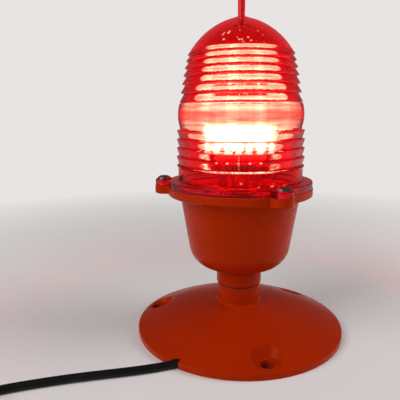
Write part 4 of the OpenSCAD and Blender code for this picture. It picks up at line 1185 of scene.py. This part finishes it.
def add_lead(pieces):
    line = lead_line()
    curve = bpy.data.curves.new("lead", "CURVE")
    curve.dimensions = "3D"
    curve.bevel_depth = LEAD_R*MM
    curve.bevel_resolution = 5
    curve.use_fill_caps = True
    spline = curve.splines.new("POLY")
    spline.points.add(len(line) - 1)
    for point, spot in zip(spline.points, line):
        point.co = (*(MM*x for x in spot), 1)
    spline.use_smooth = True
    lead = fitted(add_object("lead", curve), "stand", "cable_sheath", "cord", "cord_coil", "cord_tail")


def add_strap():
    """The strap round the coil: a flat band bent close round the turns."""
    def loop(out, radius):
        low_x, high_x, low_z, high_z = 26.8 - out, 41.0 + out, 0.7 - out, 14.0 + out
        return rounded([(low_x, low_z, radius), (high_x, low_z, radius), (high_x, high_z, radius),
                        (low_x, high_z, radius)], 6)

    edge, middle_x, middle_z = 4, 34, 7.35
    points = []
    for trim, line in ((-0.0022, loop(0.7, 4.1)), (0.0022, loop(0.0, 3.4))):
        for y in (-edge, -3.4, 3.4, edge):
            inward = trim if abs(y) == edge else 0.0
            points += [(x + (middle_x - x)*inward, y, z + (middle_z - z)*inward) for x, z in line]
    count = len(points)//8
    rows = [list(range(k*count, (k + 1)*count)) for k in (0, 1, 2, 3, 7, 6, 5, 4)]
    faces = [(a[i], a[(i + 1) % count], b[(i + 1) % count], b[i])
             for a, b in zip(rows, rows[1:] + rows[:1]) for i in range(count)]
    place = Matrix.Translation((*COIL_AT, 0)) @ turned_by(200)
    mesh = cleaned(mesh_of("coil_strap", [place @ Vector(p) for p in points], faces), outward=True)
    return fitted(even_shading(add_object("coil_strap", mesh), 40), "stand", "tie_strap", "coil_tie")


def lying(name, profile, x, y, steps=32, closed=False):
    """A turned piece laid along the plug's own X, from a profile of (radius, length)."""
    return moved(add_object(name, turned_mesh(name, profile, steps, closed)), shift(x, y) @ turned_by(90, "Y"))


def brick(name, low, high):
    outline = [(low[0], low[2]), (high[0], low[2]), (high[0], high[2]), (low[0], high[2])]
    return slab(name, outline, high[1] - low[1], Matrix.Translation((0, (low[1] + high[1])/2, 0)))


def add_plug():
    """The moulded plug at the lead's far end, with its sleeve, grip, shrouded socket and bare pin."""
    pole_x, pole_y, pin_r = 38, 4, 1.75
    sleeve = [(0, 0, 0), (3.5, 0, 0.35)]
    for i in range(5):
        x = 5 + 3.4*i
        sleeve += [(3.5 + 0.036*x, x, 0.3), (3.2 + 0.12*i, x, 0.3), (3.2 + 0.12*i, x + 1.2, 0.3),
                   (3.54 + 0.036*x, x + 1.2, 0.3)]
    sleeve += [(4.4, 25, 0), (0, 25, 0)]
    nose = rounded([(0, 0, 0), (3.9, 0, 0), (3.9, 14.1, 0.7), (0, 14.1, 0)], 4)
    grip = brick("plug_grip", (24, -8, -PLUG_H/2), (42, 8, PLUG_H/2))
    edge = grip.modifiers.new("edges", "BEVEL")
    edge.width = 1.5*MM
    edge.segments = 4
    bpy.context.view_layer.update()
    settled(grip)
    carved(grip, [lying("sleeve", rounded(sleeve), 0, 0, 48), lying("nose", nose, 41.8, -pole_y, 48)], "UNION")
    grooves = [brick("groove", (27.5 + 3.4*i, y, -6), (28.9 + 3.4*i, y + 1.5, 6)) for i in range(4)
               for y in (-9, 7.5)]
    carved(grip, grooves + [lying("bore", [(0, 0), (2.7, 0), (2.7, 20), (0, 20)], pole_x, -pole_y),
                            lying("bore", [(0, 0), (pin_r, 0), (pin_r, 6), (0, 6)], pole_x, pole_y)])
    pin = lying("plug_pin", rounded([(0, 0, 0), (pin_r, 0, 0), (pin_r, 12.4, 0.2), (1.45, 12.6, 0.2),
                                     (1.45, 13.2, 0.2), (pin_r, 13.4, 0.2), (pin_r, 15, 0.6), (0.85, 16.4, 0.3),
                                     (0, 16.4, 0)], 4), pole_x, pole_y)
    socket = lying("plug_socket", rounded([(1.8, 0, 0.1), (2.7, 0, 0.1), (2.7, 16, 0.25), (1.8, 16, 0.35)]),
                   pole_x, -pole_y, closed=True)
    place = shift(*PLUG_AT, PLUG_H/2) @ turned_by(PLUG_TURN)
    return [fitted(moved(even_shading(made, angle), place), "stand", slot_name, node_name)
            for made, angle, slot_name, node_name in ((grip, 35, "plug_rubber", "connector_body"),
                                                      (pin, 40, "brass", "connector_pin"),
                                                      (socket, 40, "brass", "connector_socket"))]


add_lead([add_strap()] + add_plug())


# Floor and light
PALE = rgba(0.80, 0.775, 0.77)


def seen_directly(tree):
    """1 where the camera looks at it, also through the lens."""
    path = put(tree, "ShaderNodeLightPath")
    return path["Is Camera Ray"].maths("MAXIMUM", path["Is Transmission Ray"])


def make_floor_material():
    """A pale floor with a painted shadow, dark where the base stands, that keeps its shadows near the object and turns
    into the plain background away from it."""
    material, tree, shader = new_material("pale floor")
    away = object_place(tree).vector("LENGTH")["Value"]
    # Painted shadow: the floor is dark under the base, inside its rim
    feed(shader, Roughness=0.7, Base_Color=blend_colours(away.mapped(0.0882, 0.0866), rgba(0.90, 0.875, 0.87),
                                                         rgba(0.10, 0.06, 0.06)))
    plain = put(tree, "ShaderNodeEmission", Color=PALE, Strength=1.0)
    set_surface(tree, away.mapped(0.22, 0.75)*seen_directly(tree), Value(shader.outputs[0]), plain)
    return material


def add_stage():
    half = 3000
    corners = [(-half, -half, 0), (half, -half, 0), (half, half, 0), (-half, half, 0)]
    floor = add_object("floor", mesh_of("floor", corners, [(0, 1, 2, 3)]))
    floor.data.materials.append(make_floor_material())
    scene.world = bpy.data.worlds.new("world")
    scene.world.use_nodes = True
    tree = scene.world.node_tree
    feed(tree.nodes["Background"], Color=PALE, Strength=seen_directly(tree).mapped(0.0, 1.0, 0.16, 1.0))
    for name, place, target, size, watts in (
            ("window", (-0.80, -0.52, 0.70), (0, 0, 0.08), 0.8, 7.8),
            ("fill", (0.88, -0.04, 0.60), (0, 0, 0.06), 0.6, 5.6)):
        lamp = bpy.data.lights.new(name, "AREA")
        lamp.size = size
        lamp.energy = watts
        holder = add_object(name, lamp)
        holder.visible_glossy = name == "window"
        holder.location = place
        holder.rotation_euler = (Vector(target) - Vector(place)).to_track_quat("-Z", "Y").to_euler()


add_stage()
